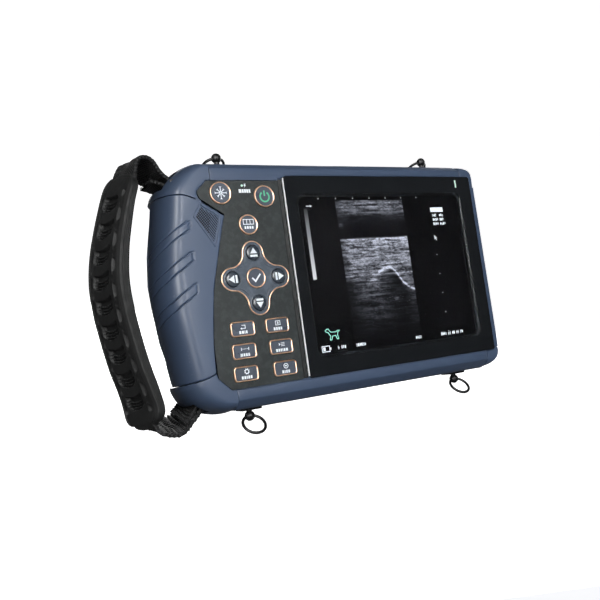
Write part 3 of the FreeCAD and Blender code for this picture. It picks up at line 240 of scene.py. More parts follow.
def black_coated():
    """Black coated metal, rubbed through a little on its edges."""
    s = Shader("black_coated")
    coords = s.coords()
    edge = s.ramp(s.pointiness(), (0.53, 0.0), (0.62, 1.0))
    scuff = s.patches(coords, (0.5, 0.0), (0.66, 1.0), scale=500.0, detail=5.0, roughness=0.7)
    worn = s.times(s.times(edge, scuff), 0.6)
    return s.surface(
        base_color=s.mix(worn, (0.009, 0.009, 0.010), (0.32, 0.32, 0.34)),
        roughness=s.patches(coords, (0.3, 0.30), (0.7, 0.48), scale=350.0, detail=4.0),
        metallic=0.35,
        normal=s.bump(s.noise(coords, scale=1500.0), strength=0.25, distance=0.00004))


def nylon_webbing():
    """Woven nylon; the UV map holds length and width in millimetres, one yarn to each."""
    s = Shader("nylon_webbing")
    colour = (0.0040, 0.0042, 0.0046)
    uv = s.split(s.node("UVMap").outputs["UV"])
    lengthways = s.times(uv["X"], math.pi)
    crossways = s.times(uv["Y"], math.pi)
    weave = s.times(s.math("SINE", lengthways), s.math("SINE", crossways))
    diagonal = s.math("SINE", s.times(s.plus(lengthways, crossways), 0.5))
    height = s.plus(s.times(weave, 0.5), s.times(s.math("ABSOLUTE", diagonal), 0.6))
    fuzz = s.noise(s.coords(), scale=5200.0)
    height = s.plus(height, s.times(fuzz, 0.35))
    return s.surface(
        normal=s.bump(height, strength=0.9, distance=0.00025),
        # painted shade and highlight: the colour is darker in the weave's hollows and paler on its
        # crests
        base_color=s.ramp(height, (0.1, shade(colour, 0.35)), (0.75, shade(colour, 2.4, 0.001))),
        roughness=s.ramp(fuzz, (0.3, 0.5), (0.7, 0.78)),
        sheen_weight=0.08, sheen_roughness=0.4, specular_ior_level=0.22)


def printed(name, colour, glow, roughness=0.35):
    """Printed mark in slightly uneven ink, made to glow faintly so that it stays legible; on the
    keys and the case this glow is painted light.
    """
    s = Shader(name)
    coords = s.coords()
    base = s.patches(coords, (0.3, shade(colour, 0.86)), (0.7, shade(colour, 1.06)),
                     scale=900.0, detail=4.0, roughness=0.6)
    gloss = s.patches(coords, (0.3, roughness - 0.08), (0.7, roughness + 0.08), scale=600.0)
    return s.surface(base_color=base, roughness=gloss, emission_color=base, emission_strength=glow)


def circuit_board():
    s = Shader("circuit_board")
    coords = s.coords()
    cells = s.voronoi(s.stretched(coords, (1.0, 0.2, 1.0)), scale=420.0,
                      feature="DISTANCE_TO_EDGE")
    traces = s.ramp(cells, (0.02, 1.0), (0.06, 0.0))
    return s.surface(
        base_color=s.mix(traces, (0.012, 0.075, 0.03), (0.03, 0.16, 0.07)),
        normal=s.bump(traces, strength=0.3, distance=0.00005),
        roughness=s.patches(coords, (0.3, 0.28), (0.7, 0.42), scale=120.0))


def window_glass():
    s = Shader("window_glass")
    smears = s.patches(s.coords(), (0.4, 0.012), (0.8, 0.05), scale=60.0, detail=6.0, roughness=0.7)
    return s.surface(base_color=(0.93, 0.95, 0.96), transmission_weight=1.0, ior=1.2,
                     roughness=smears)


def display_dark():
    """Unlit part of the display."""
    s = Shader("display_dark")
    base = s.patches(s.coords(), (0.3, (0.0022, 0.0022, 0.0028)), (0.7, (0.0032, 0.0032, 0.004)),
                     scale=400.0)
    gloss = s.patches(s.coords(), (0.3, 0.45), (0.7, 0.6), scale=800.0)
    return s.surface(base_color=base, roughness=gloss, specular_ior_level=0.05)


SLATE = (0.058, 0.088, 0.152)
SLATE_GRIP = (0.061, 0.093, 0.161)
CASE = moulded("case_plastic", SLATE, roughness=0.40, specular=0.36, wear_amount=0.0)
GRIP = moulded("grip_plastic", SLATE_GRIP, roughness=0.40, specular=0.36, grain=2100.0,
               grain_depth=0.00005)
BUMPER = moulded("bumper_plastic", SLATE_GRIP, specular=0.38, grain=2100.0, grain_depth=0.00005)
BEZEL = glossy("bezel_gloss", (0.0070, 0.0086, 0.0106), roughness=0.16, specular=0.4, coat=0.25)
OVERLAY = moulded("overlay_film", (0.020, 0.026, 0.027), roughness=0.5, specular=0.3,
                  grain=3400.0, grain_depth=0.00003, wear=(0.08, 0.09, 0.09), wear_amount=0.2,
                  vary=0.2)
KEY = moulded("key_satin", (0.074, 0.090, 0.120), roughness=0.3, grain=3000.0,
              grain_depth=0.00002, wear=(0.2, 0.22, 0.27), wear_amount=0.4, vary=0.18)
PLATE = moulded("plate_satin", (0.066, 0.086, 0.112), roughness=0.32, grain=3000.0,
                grain_depth=0.00002, vary=0.07)
KEY_GLOSS = glossy("key_gloss", (0.032, 0.044, 0.060), roughness=0.24, specular=0.45, coat=0.2)
COPPER = metal("copper_edge", (0.90, 0.56, 0.38), roughness=0.36, scale=700.0)
TRIM = metal("bright_trim", (0.90, 0.91, 0.93), roughness=0.42, brush=(60.0, 60.0, 1.0),
             metallic=0.35)
# the ink on the keys and the case glows faintly: painted light
INK = printed("ink_white", (0.84, 0.9, 0.96), glow=0.12)
GREEN_INK = printed("ink_green", (0.10, 0.50, 0.28), glow=0.22)
PAD_RUBBER = rubber("pad_rubber", (0.0048, 0.0055, 0.0055))
SEAL = rubber("seal_rubber", (0.01, 0.01, 0.011), roughness=0.7)
WEBBING = nylon_webbing()
BLACK_METAL = black_coated()
STEEL = metal("plain_steel", (0.55, 0.56, 0.58), roughness=0.3, brush=(1.0, 1.0, 60.0))
ALUMINIUM = metal("blasted_aluminium", (0.30, 0.31, 0.33), roughness=0.46, scale=900.0)
BRASS = metal("gold_plate", (0.83, 0.62, 0.28), roughness=0.22)
BOARD = circuit_board()
BATTERY_WRAP = glossy("battery_wrap", (0.02, 0.028, 0.05), roughness=0.25)
POLYIMIDE = glossy("polyimide", (0.42, 0.22, 0.05), roughness=0.25)
GLASS = window_glass()
LED = printed("led_lens", (0.55, 0.75, 0.65), roughness=0.2, glow=0.35)
MESH = moulded("grille_mesh", (0.009, 0.0105, 0.011), roughness=0.55, specular=0.12,
               wear=(0.02, 0.02, 0.02), wear_amount=0.0, vary=0.25)
# near-black rubber for the speaker cloth and for the painted shade strip in the keypad step
GAP = rubber("gap_strip", (0.0045, 0.0055, 0.0062), roughness=0.45, specular=0.15)


# ------------------------------------------------------------------ curves and outlines
def unit(vectors):
    return vectors / np.linalg.norm(vectors, axis=-1, keepdims=True)


def quarter_turn(vectors):
    """(x, z) vectors turned from +X towards +Z."""
    return np.stack([-vectors[..., 1], vectors[..., 0]], -1)


def smoothstep(x):
    x = np.clip(x, 0, 1)
    return x * x * (3 - 2 * x)


def gauss(value, centre, width):
    return np.exp(-((value - centre) / width) ** 2)


def arc_length(points):
    steps = np.linalg.norm(np.diff(np.asarray(points, float), axis=0), axis=1)
    return np.r_[0, np.cumsum(steps)]


def interpolate(wanted, knots, values):
    """Rows of values given at the knots, read off linearly at the wanted places."""
    columns = np.asarray(values, float).T
    return np.stack([np.interp(wanted, knots, column) for column in columns], 1)


def resample(points, count, closed=False):
    """Evenly spaced points along a polyline."""
    points = np.asarray(points, float)
    if closed:
        points = np.vstack([points, points[:1]])
    along = arc_length(points)
    return interpolate(np.linspace(0, along[-1], count, endpoint=not closed), along, points)


def spline(points, count):
    """Evenly spaced points on a Catmull-Rom curve."""
    points = np.asarray(points, float)
    padded = np.vstack([2 * points[0] - points[1], points, 2 * points[-1] - points[-2]])
    curve = []
    for before, start, end, after in zip(padded, padded[1:], padded[2:], padded[3:]):
        for t in np.linspace(0, 1, 16, endpoint=False):
            curve.append(0.5 * (2 * start + (end - before) * t
                                + (2 * before - 5 * start + 4 * end - after) * t * t
                                + (3 * start - before - 3 * end + after) * t ** 3))
    curve.append(padded[-2])
    return resample(curve, count)


def hermite(wanted, knots, values):
    """Like interpolate, but smooth through the knots."""
    slopes = np.gradient(values, knots, axis=0)
    span = np.clip(np.searchsorted(knots, wanted) - 1, 0, len(knots) - 2)
    size = (knots[span + 1] - knots[span])[:, None]
    x = (wanted - knots[span])[:, None] / size
    return ((2 * x ** 3 - 3 * x ** 2 + 1) * values[span]
            + (x ** 3 - 2 * x ** 2 + x) * size * slopes[span]
            + (-2 * x ** 3 + 3 * x ** 2) * values[span + 1]
            + (x ** 3 - x ** 2) * size * slopes[span + 1])


def circle(x, z, radius, count):
    angles = 2 * math.pi * np.arange(count) / count
    return np.stack([x + radius * np.cos(angles), z + radius * np.sin(angles)], 1)


def arc(x, z, radius, start, end, steps):
    """Points on an arc, with angles in degrees from +X towards +Z."""
    angles = np.radians(start + (end - start) * np.arange(steps + 1) / steps)
    return np.stack([x + radius * np.cos(angles), z + radius * np.sin(angles)], 1)


def rounded_rectangle(x, z, half_width, half_height, radius):
    return np.concatenate([
        arc(x + sx * (half_width - radius), z + sz * (half_height - radius), radius,
            start, start + 90, steps=7)
        for sx, sz, start in ((1, -1, -90), (1, 1, 0), (-1, 1, 90), (-1, -1, 180))])


def at_depth(points, depth):
    """(x, z) points made into (x, depth, z)."""
    return np.insert(np.asarray(points, float), 1, depth, axis=1)


def sweep(path, sideways, profile):
    """Rows of (x, depth, z) along a path; each profile entry is (share of sideways, depth).

    The profile may be one list for the whole path or one list for each path point.
    """
    profile = np.asarray(profile, float)
    flat = path[:, None] + sideways[:, None] * profile[..., :1]
    depth = np.broadcast_to(profile[..., 1], flat.shape[:2])
    return np.stack([flat[..., 0], depth, flat[..., 1]], -1)


# ------------------------------------------------------------------ mesh helpers
def make_object(name, vertices, faces, material, smooth=True, sharp_angle=None, uvs=None,
                body=BODY, slot=None, replaces=None, in_metres=False):
    vertices = np.asarray(vertices, float)
    if not in_metres:
        vertices = (vertices - (0.0, CASING_DEPTH, 0.0)) / 1000
    mesh = bpy.data.meshes.new(name)
    mesh.from_pydata(vertices.tolist(), [], faces)
    mesh.update()
    if uvs is not None:
        layer = mesh.uv_layers.new(name="UVMap")
        corners = np.zeros(len(mesh.loops), int)
        mesh.loops.foreach_get("vertex_index", corners)
        layer.data.foreach_set("uv", np.array(uvs, float)[corners].ravel().astype(np.float32))
    obj = bpy.data.objects.new(name, mesh)
    bpy.context.scene.collection.objects.link(obj)
    mesh.materials.append(material)
    bm = bmesh.new()
    bm.from_mesh(mesh)
    bmesh.ops.recalc_face_normals(bm, faces=bm.faces[:])
    bm.to_mesh(mesh)
    bm.free()
    for polygon in mesh.polygons:
        polygon.use_smooth = smooth
    if sharp_angle is not None:
        mesh.set_sharp_from_angle(angle=math.radians(sharp_angle))
    if body:
        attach(obj, body)
    if replaces:
        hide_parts(replaces)
    return obj


def grid_faces(rows, columns, close_rows=False, close_columns=False):
    faces = []
    for i in range(rows if close_rows else rows - 1):
        this, after = i * columns, (i + 1) % rows * columns
        for j in range(columns if close_columns else columns - 1):
            k = (j + 1) % columns
            faces.append((this + j, this + k, after + k, after + j))
    return faces


def tube(name, rows, material, close=False, **options):
    """Skin over rows of closed rings, capped at both ends unless the rows close on themselves."""
    rows = np.asarray(rows, float)
    count, around = rows.shape[:2]
    faces = grid_faces(count, around, close_rows=close, close_columns=True)
    if not close:
        faces += [tuple(range(around)), tuple(range((count - 1) * around, count * around))]
    return make_object(name, rows.reshape(-1, 3), faces, material, **options)


class Extrusion:
    """Flat solids between two depths, gathered into one mesh.

    Points are (x, z) about an origin and may be turned round it, in degrees.
    """

    def __init__(self, front, back, origin=(0.0, 0.0), turn=0.0):
        self.front, self.back = front, back
        self.origin = origin
        cos, sin = math.cos(math.radians(turn)), math.sin(math.radians(turn))
        self.axes = np.array([[cos, sin], [-sin, cos]])
        self.vertices, self.faces = [], []

    def add(self, points, faces):
        """Faces index the points at the front depth, then the same points at the back depth."""
        start = len(self.vertices)
        flat = np.asarray(points, float) @ self.axes + self.origin
        self.vertices += [*at_depth(flat, self.front), *at_depth(flat, self.back)]
        self.faces += [tuple(start + i for i in face) for face in faces]

    def polygon(self, points):
        n = len(points)
        sides = [(i, (i + 1) % n, n + (i + 1) % n, n + i) for i in range(n)]
        self.add(points, [range(n), range(n, 2 * n), *sides])

    def rectangle(self, x0, x1, z0, z1):
        self.polygon([(x0, z0), (x1, z0), (x1, z1), (x0, z1)])

    def line(self, points, width, closed=False):
        """Stroke of even width with mitred corners."""
        points = np.asarray(points, float)
        n = len(points)
        after = unit(np.roll(points, -1, 0) - points)
        before = np.roll(after, 1, 0)
        if not closed:
            before[0] = after[-1] = 0.0
        tangent = before + after
        size = np.linalg.norm(tangent, axis=1, keepdims=True)
        mitre = np.minimum(2.0 / np.maximum(size, 0.8), 1.6)
        if not closed:
            mitre[[0, -1]] = 1.0
        offset = quarter_turn(tangent / size) * width / 2 * mitre
        faces = []
        for i in range(n if closed else n - 1):
            j = (i + 1) % n
            faces += [(i, j, n + j, n + i), (2 * n + i, 3 * n + i, 3 * n + j, 2 * n + j),
                      (i, 2 * n + i, 2 * n + j, j), (n + i, n + j, 3 * n + j, 3 * n + i)]
        if not closed:
            faces += [(i, n + i, 3 * n + i, 2 * n + i) for i in (0, n - 1)]
        self.add(np.concatenate([points + offset, points - offset]), faces)

    def blocks(self, x, z, height, widths, gap):
        """Row of blocks from x towards +X."""
        for width in widths:
            self.rectangle(x, x + width, z, z + height)
            x += width + gap

    def build(self, name, material, body=BODY, slot=None, replaces=None):
        return make_object(name, self.vertices, self.faces, material, smooth=False, body=body,
                           slot=slot, replaces=replaces)


# ------------------------------------------------------------------ top and bottom rails
RAIL_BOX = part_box("rail_top")
RAIL_LEFT = RAIL_BOX[0].x * 1000 + 0.05
RAIL_RIGHT = RAIL_BOX[1].x * 1000 - 0.05
LIP_STEP_X = -68.6  # the rail's lip changes height here


def rail(name, node, side, lips, ridge, top, core):
    """Rail along one edge; side is 1 for the top and -1 for the bottom.

    lips (left, right), ridge, top and core are distances from z = 0.
    """
    xs = [RAIL_LEFT, RAIL_LEFT + 0.25, RAIL_LEFT + 0.6,
          *np.linspace(RAIL_LEFT + 4, RAIL_RIGHT - 4, 12),
          RAIL_RIGHT - 0.6, RAIL_RIGHT - 0.25, RAIL_RIGHT]
    rows = []
    for i, x in enumerate(xs):
        lip = lips[0] if x < LIP_STEP_X else lips[1]
        # closed section as (distance from z = 0, depth)
        section = [
            (lip, 1.42), (lip, 0.75), (lip + 0.1, 0.5), (lip + 0.35, 0.38),
            (lip + (ridge - lip) * 0.5, 0.3), (ridge - 0.5, 0.36), (ridge, 0.55),
            (ridge + 0.35, 1.0), (ridge + (top - ridge) * 0.45, 2.9),
            (ridge + (top - ridge) * 0.8, 5.0), (top - 0.12, 6.8), (top, 8.6), (top, 14.0),
            (top, 24.0), (top, 31.5), (top - 0.15, 33.4), (top - 0.9, 35.4), (top - 2.2, 37.2),
            (top - 3.9, 38.5), (top - 4.8, 38.9), (core + 0.05, 38.95), (core + 0.05, 20.0),
            (core + 0.05, 1.43),
        ]
        # the two rings at each end pull in, so that the seam reads as a fine groove
        pull = {0: 0.18, 1: 0.05}.get(min(i, len(xs) - 1 - i), 0.0)
        rows.append([(x, depth + (pull if depth < 10 else -pull),
                      side * (z - (pull if z > core + 1 else 0.0))) for z, depth in section])
    tube(name, rows, CASE, slot="casing", sharp_angle=38, replaces=node)


rail("top_rail_cover", "rail_top", 1, lips=(52.05, 54.62), ridge=58.6,
     top=RAIL_BOX[1].z * 1000, core=56.0)
rail("bottom_rail_cover", "rail_bottom", -1, lips=(54.15, 54.22), ridge=59.6,
     top=-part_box("rail_bottom")[0].z * 1000, core=57.0)

# ------------------------------------------------------------------ corner bumpers
# Each row is one station. Columns: x and z of the inner front lip, of the front ridge, of the
# widest line and of the inner back edge.
TOP_LEFT = (
    (-107, 52, -107, 58.7, -107, 63.2, -107, 56.6),
    (-109.3, 52, -110.3, 58.5, -111.4, 63.9, -110, 56.4),
    (-111.6, 49.9, -113.6, 56.2, -116.8, 62.3, -113.6, 54.6),
    (-113.8, 47.7, -117.2, 52.4, -122.6, 58.4, -116.4, 52),
    (-114.9, 46.2, -119.8, 49.2, -127.6, 54.2, -118.4, 49.4),
    (-115.1, 44.6, -121.2, 46.8, -131, 49.6, -119.4, 47),
    (-115.7, 42.75, -121.6, 44.9, -132.3, 46.2, -119.6, 44.8),
)
BOTTOM_LEFT = (
    (-116.6, -44.9, -120.5, -46.6, -132.5, -49.1, -119.6, -47.2),
    (-116.1, -46.9, -120.4, -49.2, -131.8, -52.4, -119.4, -49.8),
    (-114.4, -49, -119, -52.6, -129, -57.6, -118, -52.6),
    (-112, -51.4, -116, -56.2, -123.4, -62, -115.6, -55.4),
    (-109.8, -53.7, -112.2, -58.8, -116.2, -64.7, -112.6, -57.2),
    (-108.4, -54.1, -109.2, -59.7, -111, -65.6, -109.6, -57.8),
    (-106.9, -54.1, -106.9, -59.9, -106.9, -65.2, -106.9, -57.9),
)
TOP_RIGHT = (
    (60.95, 54.7, 60.95, 58.8, 60.95, 63.2, 60.95, 56.6),
    (64.4, 54.7, 65, 58.8, 65.4, 63.1, 63.6, 56.6),
    (67, 54.6, 68.3, 58.2, 69.6, 61.2, 65.6, 56),
    (67.85, 53.6, 70, 56.4, 72.6, 57.8, 67.4, 54.2),
    (67.85, 51.4, 70.4, 52.8, 73.9, 53.2, 68, 52),
    (67.85, 48, 70.2, 48, 73.5, 48, 68.2, 48),
)
BOTTOM_RIGHT = (
    (67.85, -53, 70.4, -53, 73.9, -53, 68.2, -53),
    (67.85, -53.6, 70.3, -55.6, 73.6, -56.6, 67.6, -54.6),
    (67.2, -54.1, 69.2, -58, 71.6, -60.8, 66.4, -56.6),
    (65.2, -54.3, 66.6, -59.6, 67.8, -63.8, 64.6, -57.4),
    (62.8, -54.3, 63.6, -59.9, 64.2, -65, 62.8, -57.9),
    (60.95, -54.3, 60.95, -59.9, 60.95, -65.2, 60.95, -57.9),
)
LIP_BASE = 1.45  # depth of the lip's root
FACET = 0.35  # depth of the flat band between lip and ridge
BUMPER_RIDGE = 0.55
BUMPER_WIDEST = 22.0
BUMPER_BACK = 40.0


def roll(start, end, count):
    """Quarter roll as (share of the way out, depth), between two depths."""
    angles = np.linspace(0, 1, count) * math.pi / 2
    return np.stack([np.sin(angles), start + (end - start) * (1 - np.cos(angles))], 1)


def station_curves(stations, knots, rows):
    """Curves through the station columns: the lip runs straight, the others smoothly."""
    lip, *others = np.array(stations, float).reshape(len(stations), -1, 2).swapaxes(0, 1)
    knots = np.array(knots, float)
    wanted = np.linspace(knots[0], knots[-1], rows)
    return [interpolate(wanted, knots, lip)] + [hermite(wanted, knots, c) for c in others]


def bumper(name, node, stations, rows):
    lip, ridge, widest, rear = station_curves(stations, range(len(stations)), rows)
    back_roll = roll(0.0, BUMPER_BACK - BUMPER_WIDEST - 1.0, 12) * (1, -1) + (0, BUMPER_BACK)
    rings = np.concatenate([
        sweep(lip, unit(ridge - lip),
              [(0, LIP_BASE), (0, FACET + 0.35), (0.12, FACET + 0.12), (0.4, FACET)]),
        sweep(lip, ridge - lip,
              [(t, FACET + (BUMPER_RIDGE - FACET) * t * t) for t in (0.25, 0.5, 0.75)]),
        sweep(ridge, widest - ridge, roll(BUMPER_RIDGE, BUMPER_WIDEST, 15)),
        sweep(rear, widest - rear, back_roll[::-1]),
        sweep(rear, lip - rear,
              [(0, BUMPER_BACK), (0.5, LIP_BASE + 0.35 * (BUMPER_BACK - LIP_BASE))]),
    ], axis=1)
    # the end rings shrink a little, so that the seams read as fine grooves
    first, last = rings[0], rings[-1]
    rings = np.concatenate([
        [first + (first.mean(0) - first) * 0.02, first + (rings[1] - first) * 0.25],
        rings[1:-1],
        [last + (rings[-2] - last) * 0.25, last + (last.mean(0) - last) * 0.02]])
    return tube(name, rings, BUMPER, slot="grip", replaces=node)


top_left = bumper("bumper_tl_cover", "bumper_top_left", TOP_LEFT, 40)
bottom_left = bumper("bumper_bl_cover", "bumper_bottom_left", BOTTOM_LEFT, 40)
bumper("bumper_tr_cover", "bumper_top_right", TOP_RIGHT, 34)
bumper("bumper_br_cover", "bumper_bottom_right", BOTTOM_RIGHT, 34)

# strap notch outlines in the two left bumpers, (x, z)
TOP_NOTCH = ((-120.6, 63.5), (-134.0, 58.5), (-134.5, 50.9), (-126.4, 49.9), (-118.6, 50.6),
             (-117.9, 57.5))
BOTTOM_NOTCH = ((-120.2, -66.5), (-131.0, -63.5), (-131.2, -60.9), (-127.0, -58.7),
                (-123.5, -54.8), (-118.4, -53.6), (-117.6, -60.0))


def cut_notch(obj, outline, name):
    front, back = (corner.y * 1000 + CASING_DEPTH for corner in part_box("hand_pad"))
    block = Extrusion(front + 3.0, back + 2.0)
    block.polygon(outline)
    cutter = block.build(name, BUMPER, body=None)
    cut = obj.modifiers.new("cut", "BOOLEAN")
    cut.operation = "DIFFERENCE"
    cut.object = cutter
    cut.solver = "EXACT"
    depsgraph = bpy.context.evaluated_depsgraph_get()
    mesh = bpy.data.meshes.new_from_object(obj.evaluated_get(depsgraph))
    uncut = obj.data
    obj.modifiers.clear()
    obj.data = mesh
    bpy.data.meshes.remove(uncut)
    cutter_mesh = cutter.data
    bpy.data.objects.remove(cutter)
    bpy.data.meshes.remove(cutter_mesh)
    for polygon in mesh.polygons:
        polygon.use_smooth = True
    mesh.set_sharp_from_angle(angle=math.radians(32))


cut_notch(top_left, TOP_NOTCH, "cut_tl")
cut_notch(bottom_left, BOTTOM_NOTCH, "cut_bl")

# ------------------------------------------------------------------ ribbed hand grip
# Columns: x and z of the inner front lip, of the front ridge and of the widest line.
GRIP_STATIONS = (
    (-115.9, 42.35, -121.8, 44.55, -132.4, 45.75),
    (-109, 38, -122.4, 39.2, -133.6, 38.6),
    (-101.95, 33.6, -123.4, 32.6, -134.9, 30.8),
    (-105.1, 23, -125.2, 22.8, -136.4, 20),
    (-108.7, 10.2, -125.8, 10.2, -137.8, 8.6),
    (-112.5, -3.7, -125.2, -3.4, -138.3, -3.6),
    (-114.7, -17.8, -124.6, -17.2, -137.1, -16.9),
    (-116.3, -31.8, -122.9, -31.6, -134.9, -31.4),
    (-116.7, -38.8, -121.6, -39.2, -133.9, -40.6),
    (-116.8, -44.5, -120.5, -46.2, -132.6, -48.6),
)
GRIP_KNOTS = (0.0, 0.8, 1.6, 2.7, 4.0, 5.4, 6.8, 8.2, 9.0, 9.6)
GRIP_RIDGE = 0.6
GRIP_WIDEST = 21.9
RIB_TOPS = (29.9, 13.4, -2.3)  # z of each raised rib's upper edge at the ridge
RIB_HALF = 2.12
RIB_END_X = -120.9  # the ribs stop here, short of the lip
RIB_CORNER = 0.8
RIB_SLOPE = 0.55


def rib_relief(outer, arc_out):
    """Height of three sloping raised ribs, each ringed by a groove."""
    x, z = outer[..., 0], outer[..., 2]
    run = np.where(arc_out < 9.0, 0.6 * arc_out, 5.4 + 0.44 * (arc_out - 9.0))
    fade = np.clip((31.0 - arc_out) / 9.0, 0.0, 1.0)
    height = np.zeros(x.shape)
    for top in RIB_TOPS:
        across = RIB_HALF - np.abs((z - (top - 2.4 - run)) * math.cos(math.atan(RIB_SLOPE)))
        along = RIB_END_X - x
        corner_x = np.maximum(RIB_CORNER - along, 0)
        corner_z = np.maximum(RIB_CORNER - across, 0)
        inside = np.where((corner_x > 0) & (corner_z > 0),
                          RIB_CORNER - np.hypot(corner_x, corner_z), np.minimum(across, along))
        height += fade * 0.16 * smoothstep((inside - 0.12) / 0.5)
        height -= (0.2 + 0.8 * fade) * 0.85 * gauss(inside, -0.12, 0.24)
    return height


def grip():
    rows, front_count, roll_count = 380, 26, 108
    lip, ridge, widest = station_curves(GRIP_STATIONS, GRIP_KNOTS, rows)
    t = np.linspace(0, 1, front_count, endpoint=False)
    front = sweep(lip, ridge - lip, np.stack([t, FACET + (GRIP_RIDGE - FACET) * t ** 3], 1))
    flank = sweep(ridge, widest - ridge, roll(GRIP_RIDGE, GRIP_WIDEST, roll_count))
    # signed distance from the ridge, with the flank respaced evenly
    flank_arc = np.zeros((rows, roll_count))
    for i in range(rows):
        along = arc_length(flank[i])
        flank_arc[i] = np.linspace(0, along[-1], roll_count)
        flank[i] = interpolate(flank_arc[i], along, flank[i])
    front_arc = -np.linalg.norm(front[..., [0, 2]] - ridge[:, None], axis=2)
    outer = np.concatenate([front, flank], 1)
    # soften the ridge a little
    a, b = front_count - 2, front_count + 4
    for _ in range(5):
        neighbours = outer[:, a - 1:b - 1] + outer[:, a + 1:b + 1]
        outer[:, a:b] = 0.5 * outer[:, a:b] + 0.25 * neighbours
    normals = np.cross(np.gradient(outer, axis=1), np.gradient(outer, axis=0))
    normals /= np.maximum(np.linalg.norm(normals, axis=2, keepdims=True), 1e-9)
    height = rib_relief(outer, np.concatenate([front_arc, flank_arc], 1))
    outer = outer + normals * height[..., None]
    # the end rows and the widest line sink in, so that the seams show as grooves
    for row, amount in ((0, 0.35), (1, 0.12), (-1, 0.35), (-2, 0.12)):
        outer[row] -= normals[row] * amount
    outer[:, -1] -= normals[:, -1] * 0.3
    inner = (outer - normals * 2.0)[:, ::-7]
    inner[..., 1] = np.maximum(inner[..., 1], 1.7)
    inner[:, 0, 1] = 21.6
    lip_root = outer[:, :1].copy()
    lip_root[..., 1] = LIP_BASE
    tube("grip_cover_ribbed", np.concatenate([lip_root, outer, inner], 1), GRIP, slot="grip",
         replaces="grip_cover")


grip()

# ------------------------------------------------------------------ loudspeaker mesh
# grille corners (x, z), anticlockwise as seen from the front
GRILLE = ((-117.6, 33.4), (-108.9, 19.3), (-105.0, 30.8), (-105.0, 33.4), (-114.0, 39.2))
WIRE_PITCH = 1.02


def inset(polygon, distance):
    """Anticlockwise convex polygon with every side moved inwards."""
    polygon = np.array(polygon, float)
    along = unit(np.roll(polygon, -1, 0) - polygon)
    start = polygon + quarter_turn(along) * distance
    corners = []
    for i in range(len(polygon)):
        directions = np.stack([along[i - 1], -along[i]], 1)
        reach = np.linalg.solve(directions, start[i] - start[i - 1])[0]
        corners.append(start[i - 1] + along[i - 1] * reach)
    return np.array(corners)


def clip(polygon, window):
    """The part of a polygon inside an anticlockwise convex window."""
    for start, end in zip(window, np.roll(window, -1, 0)):
        kept = []
        for before, here in zip(polygon[-1:] + polygon[:-1], polygon):
            side_before, side_here = (
                (end[0] - start[0]) * (p[1] - start[1]) - (end[1] - start[1]) * (p[0] - start[0])
                for p in (before, here))
            if (side_before >= 0) != (side_here >= 0):
                kept.append(before + (here - before) * side_before / (side_before - side_here))
            if side_here >= 0:
                kept.append(here)
        polygon = kept
    return polygon


def speaker():
    cloth = Extrusion(1.0, 1.25)
    cloth.polygon(inset(GRILLE, 0.02))
    cloth.build("speaker_cloth", GAP, slot="seal")

    window = inset(GRILLE, 0.55)
    centre = np.mean(GRILLE, axis=0)
    slant = unit(np.array([0.56, -0.83]))
    across = quarter_turn(slant)
    wires = Extrusion(0.22, 0.62)
    # two layers of wires: direction, spacing direction, half width, count each way, depths
    for along, step, half, count, depths in ((slant, across, 0.2, 16, (0.22, 0.62)),
                                             (across, slant, 0.16, 24, (0.36, 0.8))):
        wires.front, wires.back = depths
        for k in range(-count, count + 1):
            middle = centre + step * k * WIRE_PITCH
            bar = [middle - along * 30 - step * half, middle + along * 30 - step * half,
                   middle + along * 30 + step * half, middle - along * 30 + step * half]
            clipped = clip(bar, window)
            if len(clipped) > 2:
                wires.polygon(clipped)
    wires.build("speaker_mesh", MESH, slot="black_metal", replaces="speaker_grille")

    outer, crest, inner = (resample(inset(GRILLE, distance), 160, closed=True)
                           for distance in (-0.85, -0.35, 0.12))
    loops = ((outer, 0.62), (outer * 0.7 + crest * 0.3, 0.12), (crest, -0.12),
             (crest * 0.45 + inner * 0.55, -0.02), (inner, 0.18), (inner, 1.0), (outer, 1.0))
    rim = np.stack([at_depth(loop, depth) for loop, depth in loops], 1)
    tube("speaker_rim", rim, GRIP, close=True, slot="grip")


speaker()

# ------------------------------------------------------------------ keys
# cap profiles as (inset, depth), from the skirt to the middle
RIM_PROFILE = ((0.0, 1.6), (0.0, 0.3), (0.0, -0.12), (0.04, -0.28), (0.15, -0.40), (0.31, -0.44),
               (0.46, -0.40), (0.58, -0.30), (0.66, -0.21), (0.84, -0.16), (1.0, -0.13),
               (1.8, -0.17), (2.5, -0.19))
DOME_PROFILE = ((0.0, 1.6), (0.0, 0.1), (0.04, -0.12), (0.16, -0.34), (0.38, -0.50),
                (0.75, -0.61), (1.25, -0.68), (1.9, -0.72), (2.6, -0.74))
# profile, number of its steps that belong to the rim, rim and face materials, slot
RIMMED = (RIM_PROFILE, 8, COPPER, KEY, "key")
DOMED = (DOME_PROFILE, 0, KEY_GLOSS, KEY_GLOSS, "key_dark")
ROUND_KEYS = {"key_freeze": 5.8, "key_power": 5.8, "key_cine": 5.25, "key_ok": 5.25}  # radii
RECTANGULAR_KEYS = ("key_exit", "key_measure", "key_setup", "key_save", "key_review", "key_disc")
ARROW_KEYS = ("key_up", "key_down", "key_left", "key_right")
KEY_HALF_WIDTH, KEY_HALF_HEIGHT, KEY_CORNER = 6.6, 3.8, 1.8
DOME_RADIUS = 3.9


def key_cap(node, outline, profile, rim_steps, rim, face, slot):
    """Cap over a CAD key; outline(inset) gives its loop of (x, z)."""
    rows = [at_depth(outline(amount), depth) for amount, depth in profile]
    cap = tube("cap_" + node, rows, rim, sharp_angle=50, body=node, slot=slot)
    cap.data.materials.append(face)
    rim_faces = rim_steps * len(rows[0])
    underside = len(cap.data.polygons) - 2
    for polygon in cap.data.polygons:
        polygon.material_index = int(polygon.index >= rim_faces and polygon.index != underside)
    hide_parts(node)


def round_cap(node, radius, count, style):
    x, z = centre_mm(node)
    key_cap(node, lambda amount: circle(x, z, radius - amount, count), *style)


